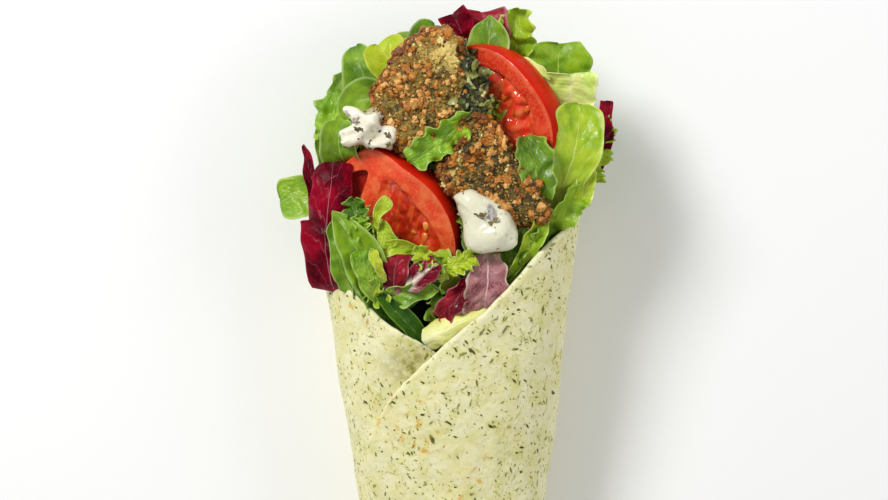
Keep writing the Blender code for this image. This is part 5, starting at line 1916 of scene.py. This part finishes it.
@dataclass(frozen=True)
class Patty:
    """A crumbed patty of spinach and cheese, with golden crumbs fried onto its crust."""

    name: str
    disc: Pebble
    clusters: int  # how many crumbs or bunches of crumbs
    bunching: float  # how many more crumbs a bunch has than one, on average
    seed: int
    cheese: Sequence[Triple]  # X, Y and radius of pale lumps
    torn: Four | None = None  # low and high X, low and high Y
    finish: PattyFinish = PattyFinish()
    crumb_size: float = 0.88

    SLOT = "patty"
    CRUMB = TintedFinish("patty_crumb", (0.19, 0.052, 0.003), (0.53, 0.19, 0.017), (0.86, 0.49, 0.15), 0.4,
                         0.8, 0.5)
    GRIT = TintedFinish("patty_grit", (0.08, 0.035, 0.004), (0.36, 0.18, 0.024), (0.66, 0.44, 0.1), 0.42,
                        0.6, 0.15)
    GLASSY = TintedFinish("patty_onion", (0.1, 0.11, 0.022), (0.3, 0.31, 0.08), (0.58, 0.58, 0.24), 0.2,
                          1.5, 0.2)
    SPINACH_BIT = TintedFinish("patty_spinach", (0.008, 0.01, 0.002), (0.035, 0.045, 0.008),
                               (0.34, 0.35, 0.1), 0.26, 1.6, 0.3)
    CHEESE = TintedFinish("patty_cheese", (0.5, 0.27, 0.04), (0.7, 0.52, 0.14), (0.84, 0.74, 0.36), 0.34,
                          1.1, 0.6)
    RELIEF, SPACING = 1.8, 4.2
    SHADED_SIDE = (-0.9, 0.4, 0)  # the way that the side with painted shade looks
    UPPER, LOWER, SIDES = 62, 26, 300
    LARGEST = 4
    # Size, flatness, curl and roughness of each kind of bit, and how many a patty has
    GRIT_BITS = (0.42, 0.8, 0.2, 0.5)
    SPINACH_BITS, SPINACH_TORN = (0.9, 0.25, 0.9, 0.3), (2, 0.25, 0.9, 0.3)
    CHEESE_BITS = (0.7, 0.7, 0.2, 0.5)
    ONION_BITS = (2.2, 0.35, 0.4, 0.2)
    GRIT_COUNT, ONION_COUNT, TORN_COUNT, SPINACH_COUNT, CHEESE_COUNT = 900, 14, 46, 16, 22

    def is_torn(self, points: Array) -> Array:
        """How torn the crust is.

        Args:
            points: where.

        Returns:
            From 0 to 1 at each point.
        """
        if self.torn is None:
            return np.zeros(points.shape[:-1])
        low_x, high_x, low_y, high_y = self.torn
        x, y, _ = np.moveaxis(points, -1, 0)
        return (smooth_step(low_x, low_x + 5, x + 2 * FINE.at(points, 4))
                * smooth_step(high_x + 3, high_x, x) * smooth_step(low_y, low_y + 3, y)
                * smooth_step(high_y + 3, high_y, y))

    def crust(self) -> tuple[Array, Array]:
        """The rough crust.

        Returns:
            Its rings of points, and its height shares.
        """
        points, out, height = self.disc.rings(self.UPPER, self.LOWER, self.SIDES)
        rough = (self.RELIEF * self.disc.lumps(points, self.SPACING)
                 + 0.6 * FINE.at(points, 1.9) + 0.35 * FINE.at(points + 40, 0.9))
        folds = np.abs(COARSE.at(points * (1, 0.7, 1), 3.4)) / 0.3
        rough = rough + self.is_torn(points) * (1.5 * folds - 1.4)
        return points + out * rough[..., None], height

    def crumbs(self, rings: Array, weight: Array, side_shading: Array) -> Shape:
        """Crumbs, alone and in bunches.

        Args:
            rings: the crust.
            weight: where they are wanted.
            side_shading: how much darker they are, 0 to 1.

        Returns:
            The crumbs in one shape.
        """
        draw = np.random.default_rng(self.seed)
        picked, middles, ways = pick_spots(rings, weight, self.clusters, self.seed)
        sizes = self.crumb_size * np.clip(np.exp(draw.normal(0, 0.36, self.clusters)), 0.45, 1.8)
        numbers = np.minimum(1 + draw.poisson(self.bunching, self.clusters), self.LARGEST)
        which = np.repeat(np.arange(self.clusters), numbers)
        count = len(which)
        alone = (numbers[which] == 1).astype(float)
        size = sizes[which] * np.where(alone > 0, 1, draw.uniform(0.5, 0.85, count))
        aside = np.cross(ways[which], unit(draw.normal(size=(count, 3))))
        aside = aside * (sizes[which] * (1 - alone) * draw.uniform(0.5, 1.1, count))[:, None]
        rise = size * draw.uniform(-0.2, 0.4, count)
        places = middles[which] + aside + ways[which] * rise[:, None]
        radii = size[:, None] * draw.uniform(0.75, 1.25, (count, 3)) * (1, 1, 0.85)
        # Crumbs on the shaded sides are darker: painted shade
        tints = draw.normal(0.56, 0.24, self.clusters) - 0.45 * side_shading.ravel()[picked]
        tints = tints[which] + draw.normal(0, 0.1, count)
        return Bits(self.seed, 0.75, 0.55).shape(places, ways[which], radii, tints)

    def bits(self, label: str, finish: TintedFinish, rings: Array, weight: Array,
             count: int, sort: Four) -> None:
        """Scatter bits of the filling over the crust.

        Args:
            label: what to add to the patty's name.
            finish: what they are made of.
            rings: the crust.
            weight: where they are wanted.
            count: how many.
            sort: half their width, their thickness against it, how far they curl, how rough.
        """
        size, flat, bend, rough = sort
        seed = self.seed + len(label)
        draw = np.random.default_rng(seed)
        _, places, outward = pick_spots(rings, weight, count, seed)
        radii = size * draw.uniform(0.5, 1.3, (count, 3)) * (1, 0.8, flat)
        shape = Bits(seed, rough, 0.8, bend).shape(places + outward * size * 0.15, outward, radii,
                                                   draw.normal(0.5, 0.25, count))
        shape.piece(self.name + label, self.SLOT, self.name, finish)

    def lumps(self, rings: Array) -> None:
        """Lay the large lumps of cheese on the crust's rings."""
        spots = np.array(self.cheese)
        Bits(self.seed, 0.7, 0.45, detail=4).shape(
            on_top(rings[:self.UPPER], spots), np.tile((0, 0, 1), (len(spots), 1)),
            spots[:, 2:] * (0.9, 0.75, 0.45), np.linspace(0.35, 0.7, len(spots))
        ).piece(self.name + "_cheese", self.SLOT, self.name, self.CHEESE)

    def build(self) -> None:
        """Make the crust, its crumbs, and what shows where it is torn."""
        rings, height = self.crust()
        way = unit((rings - np.array(self.disc.middle)) * (1, 1, 0))
        # How far each point faces the side with painted shade
        toward_shaded_side = smooth_step(0.1, 0.7, way @ np.array(self.SHADED_SIDE))
        # Painted shade all round the lower sides, and higher up on the left side
        side = np.maximum(smooth_step(0.75, 0.1, height), smooth_step(0.96, 0.5, height) * toward_shaded_side)
        torn, rich = self.is_torn(rings), np.zeros(side.shape)
        for x, y, radius in self.cheese:
            away = np.hypot(rings[..., 0] - x, rings[..., 1] - y) / radius
            rich = np.maximum(rich, smooth_step(2.2, 0.8, away + COARSE.at(rings, 3)))
        tube(rings, crust=stacked(side, torn, rich)).piece(self.name, self.SLOT, self.name, self.finish)
        shown = smooth_step(-0.5, 0.1, height)
        crowd = smooth_step(-0.5, 0.4, COARSE.at(rings, 6))
        weight = shown * (0.15 + crowd) * (1 - 0.97 * torn) * (1 - 0.7 * rich)
        crumbs = self.crumbs(rings, weight, side)
        crumbs.piece(self.name + "_crumbs", self.SLOT, self.name, self.CRUMB)
        self.bits("_grit", self.GRIT, rings, shown * (1 - 0.85 * torn), self.GRIT_COUNT, self.GRIT_BITS)
        self.bits("_spinach", self.SPINACH_BIT, rings, shown * (torn if self.torn else 1),
                  self.TORN_COUNT if self.torn else self.SPINACH_COUNT,
                  self.SPINACH_TORN if self.torn else self.SPINACH_BITS)
        self.bits("_cheese_bits", self.CHEESE, rings, shown * (0.3 + 0.5 * rich),
                  self.TORN_COUNT if self.torn else self.CHEESE_COUNT, self.CHEESE_BITS)
        if self.torn:
            self.bits("_onion", self.GLASSY, rings, shown * torn, self.ONION_COUNT, self.ONION_BITS)
        self.lumps(rings)


PATTIES = (
    Patty("patty_large",
          Pebble(((0.5, 98.5), (5, 95.5), (8.5, 88), (12, 80), (13.5, 73.5), (9, 67), (1, 65), (-5, 61),
                  (-11, 59), (-16, 62), (-19, 69), (-22.5, 76.5), (-20, 83), (-16, 89.5), (-10, 96),
                  (-4.5, 99)), (-3.5, 80, 51), 8, 3, (0.02, -0.05)), 350, 0.6, 71,
          ((-2.5, 90, 2.6), (0.8, 91.5, 2.9), (2.6, 88, 2.2), (-1, 94.5, 1.9)), (3, 15, 69, 94)),
    Patty("patty_small",
          Pebble(((11.5, 71), (16, 68), (22, 59), (29, 49), (33, 42), (30, 38), (21, 38), (10, 43), (2, 48),
                  (-1.5, 52.5), (1, 58), (6, 65)), (14.5, 53, 54), 6.5, 3, (-0.03, 0.06)), 240, 1.6, 83,
          ((2.5, 53, 1.4), (4.5, 57.5, 1.2), (0.8, 50, 1.5)), None,
          PattyFinish("patty_crust_small", (0.04, 0.026, 0.004), (0.17, 0.1, 0.013),
                      moss=(0.12, 0.1, 0.014)), 1),
)


@dataclass(frozen=True)
class Sauce:
    """A dollop of thick white sauce with herb and onion in it."""

    name: str
    disc: Pebble
    seed: int
    folds: float  # height of the soft folds in it
    knobs: float  # height of its lumps
    swells: Sequence[Four]  # X, Y, radius and height
    # X, Y, size and tint of larger bits: light ones are onion, dark ones herb
    onions: Sequence[Four]
    herbs: int
    finish: SauceFinish = SauceFinish()

    SLOT = "sauce"
    HERB = TintedFinish("sauce_herb", (0.05, 0.03, 0.01), (0.19, 0.14, 0.035), (0.6, 0.56, 0.56), 0.26, 0.9,
                        0.3)
    RELIEF, SPACING, SPIN = 0.9, 9, 1.6
    UPPER, LOWER, SIDES = 60, 16, 220
    FLAT = (1, 1, 0.5)
    ONION_WAY = (-0.2, 0.2, 1)

    def build(self) -> None:
        """Make the dollop and the bits in it."""
        points, out, height = self.disc.rings(self.UPPER, self.LOWER, self.SIDES)
        spin = stacked(COARSE.at(points, 8), COARSE.at(points + 50, 8), 0) * self.SPIN
        spin = (points + spin) * self.FLAT
        relief = (self.RELIEF * self.disc.lumps(points, self.SPACING)
                  + self.folds * COARSE.at(spin + 20, 10)
                  + self.knobs * (smooth_step(-0.5, 0.5, COARSE.at(spin, 5)) - 0.5))
        for x, y, radius, tall in self.swells:
            away = np.hypot(points[..., 0] - x, points[..., 1] - y)
            relief = relief + tall * np.exp(-(away / radius)**2) * smooth_step(0, 0.3, height)
        rings = points + out * relief[..., None]
        # Height and relief set where the finish paints shade in the low parts
        tint = np.clip(height + 0.35 * relief, -1, 1)
        tube(rings, tint=tint).piece(self.name, self.SLOT, self.name, self.finish, sharp=80)
        draw = np.random.default_rng(self.seed)
        _, places, outward = pick_spots(rings, smooth_step(-0.2, 0.4, height), self.herbs, self.seed)
        radii = draw.uniform(0.25, 0.6, (self.herbs, 1)) * draw.uniform(0.6, 1.4, (self.herbs, 3))
        small = Bits(self.seed, 0.4, 0.8).shape(places, outward, radii * (1.2, 0.7, 0.4),
                                                draw.uniform(0, 0.6, self.herbs))
        spots = np.array(self.onions)
        ways = np.tile(self.ONION_WAY, (len(spots), 1))
        large = Bits(self.seed + 1, 0.8, 0.7, 0.4, 3).shape(
            on_top(rings[:self.UPPER], spots) - ways * 0.25, ways, spots[:, 2:3] * (1.1, 0.7, 0.45),
            spots[:, 3])
        Shape.joined([small, large]).piece(self.name + "_herb", self.SLOT, self.name, self.HERB)


SAUCES = (
    Sauce("sauce_left",
          Pebble(((-30.9, 73.1), (-27.9, 74.6), (-23.1, 75.1), (-19.4, 74.1), (-17.3, 70.3), (-15.1, 68.7),
                  (-14.4, 66.1), (-16.2, 60.7), (-20.5, 60.7), (-25.8, 62.3), (-29, 61.8), (-32.7, 62.3),
                  (-31.1, 64.5), (-31.7, 66.6), (-29.5, 69.3)), (-23.5, 67.5, 54), 5.5, 2, (0.05, -0.1)),
          91, 0.9, 2.8,
          ((-17.5, 66, 2.6, 1.4), (-23, 69, 2.6, 1.6), (-28.5, 65, 2, -1.2), (-21, 63.5, 2, -1.4),
           (-28, 70.5, 2.4, -1), (-19.8, 69.2, 1.6, -1.4)),
          ((-20, 72.3, 2.1, 0.75), (-26.3, 66.9, 1.2, 0.2), (-17.3, 65.3, 1.1, 0.3),
           (-27.5, 70.2, 1.2, 0.7), (-17.6, 62.8, 1, 0.4), (-20.2, 66.7, 0.6, 0.1), (-30.2, 72.2, 0.9, 0.8),
           (-23.5, 63.2, 0.7, 0.3)), 16,
          SauceFinish("white_sauce_left", (0.87, 0.82, 0.66), (0.58, 0.42, 0.22))),
    Sauce("sauce_right",
          Pebble(((2.8, 46.5), (5.6, 48.9), (10.4, 48.1), (15.2, 45.7), (20.6, 40.6), (23.4, 35.6),
                  (23.4, 32.2), (20.6, 29.2), (15.2, 27.8), (9.2, 28.9), (6.6, 32.2), (5.6, 38.3),
                  (4, 43.6)), (13.5, 37.5, 57), 6.5, 2.2, (0, -0.12)), 97, 0.8, 0.5,
          ((8, 45, 3, 1.6), (14.5, 40, 3.2, -1.8), (17.5, 33.5, 5, 0.9), (11, 36, 2.5, -0.5)),
          ((14.3, 41, 2, 0.85), (15.4, 38.2, 1.5, 0.6), (11.4, 40, 1.5, 0.3), (17, 42.5, 0.8, 0.2)), 7),
)


# The studio

@dataclass(frozen=True)
class SoftLight:
    """A large soft light, aimed at the wrap."""

    name: str
    place: Triple  # metres
    size: float  # metres
    power: float  # watts

    AIM = (0, 0.02, 0.03)

    def build(self) -> None:
        """Hang the light."""
        lamp = bpy.data.lights.new(self.name, "AREA")
        lamp.shape = "SQUARE"
        lamp.size, lamp.energy = self.size, self.power
        made = place_object(self.name, lamp)
        made.location = self.place
        way = Vector(self.AIM) - Vector(self.place)
        made.rotation_euler = way.to_track_quat("-Z", "Y").to_euler()


@dataclass(frozen=True)
class Studio:
    """A pale floor, soft light from above and the left, and a camera that looks down."""

    floor_size: float = 3.0
    sky: float = 0.42
    camera_place: Triple = (0, 0.0293, 0.94)
    picture_width: float = 0.2842  # metres across the picture at the camera's distance
    distance: float = 0.9
    sensor: float = 36.0
    lights: Sequence[SoftLight] = (SoftLight("key", (-0.5, 0.55, 0.8), 0.35, 8),
                                   SoftLight("fill", (0.75, 0, 0.65), 0.5, 1.7))

    def floor(self) -> None:
        """Lay the floor."""
        half = self.floor_size / 2
        mesh = bpy.data.meshes.new("floor")
        mesh.from_pydata([(-half, -half, 0), (half, -half, 0), (half, half, 0), (-half, half, 0)], [],
                         [(0, 1, 2, 3)])
        mesh.materials.append(FloorFinish().material())
        place_object("floor", mesh)

    def camera(self) -> None:
        """Set the camera over the wrap."""
        lens = bpy.data.cameras.new("camera")
        lens.sensor_width = self.sensor
        lens.lens = self.sensor * self.distance / self.picture_width
        made = place_object("camera", lens)
        made.location = self.camera_place
        bpy.context.scene.camera = made

    def sky_light(self) -> None:
        """Light the scene evenly from all round."""
        world = bpy.data.worlds.new("studio")
        world.use_nodes = True
        inputs = world.node_tree.nodes["Background"].inputs
        inputs["Color"].default_value = (1, 1, 1, 1)
        inputs["Strength"].default_value = self.sky
        bpy.context.scene.world = world

    def build(self) -> None:
        """Set up the floor, the light and the camera."""
        self.floor()
        for light in self.lights:
            light.build()
        self.sky_light()
        self.camera()
        bpy.context.scene.view_settings.view_transform = "Standard"


def main() -> None:
    """Build the wrap and the studio, and note how large it came out."""
    roll = Roll()
    Tortilla(roll, TortillaFinish()).build()
    SaladHeap(roll).build()
    for node, leaves in RADICCHIO.items():
        for number, leaf in enumerate(leaves, 1):
            leaf.build(f"{node}_{number}", roll, RED_SEED + len(node) + number, "radicchio", node)
    for part in (*TOMATOES, *PATTIES, *SAUCES, Studio()):
        part.build()


if __name__ == "__main__":
    main()
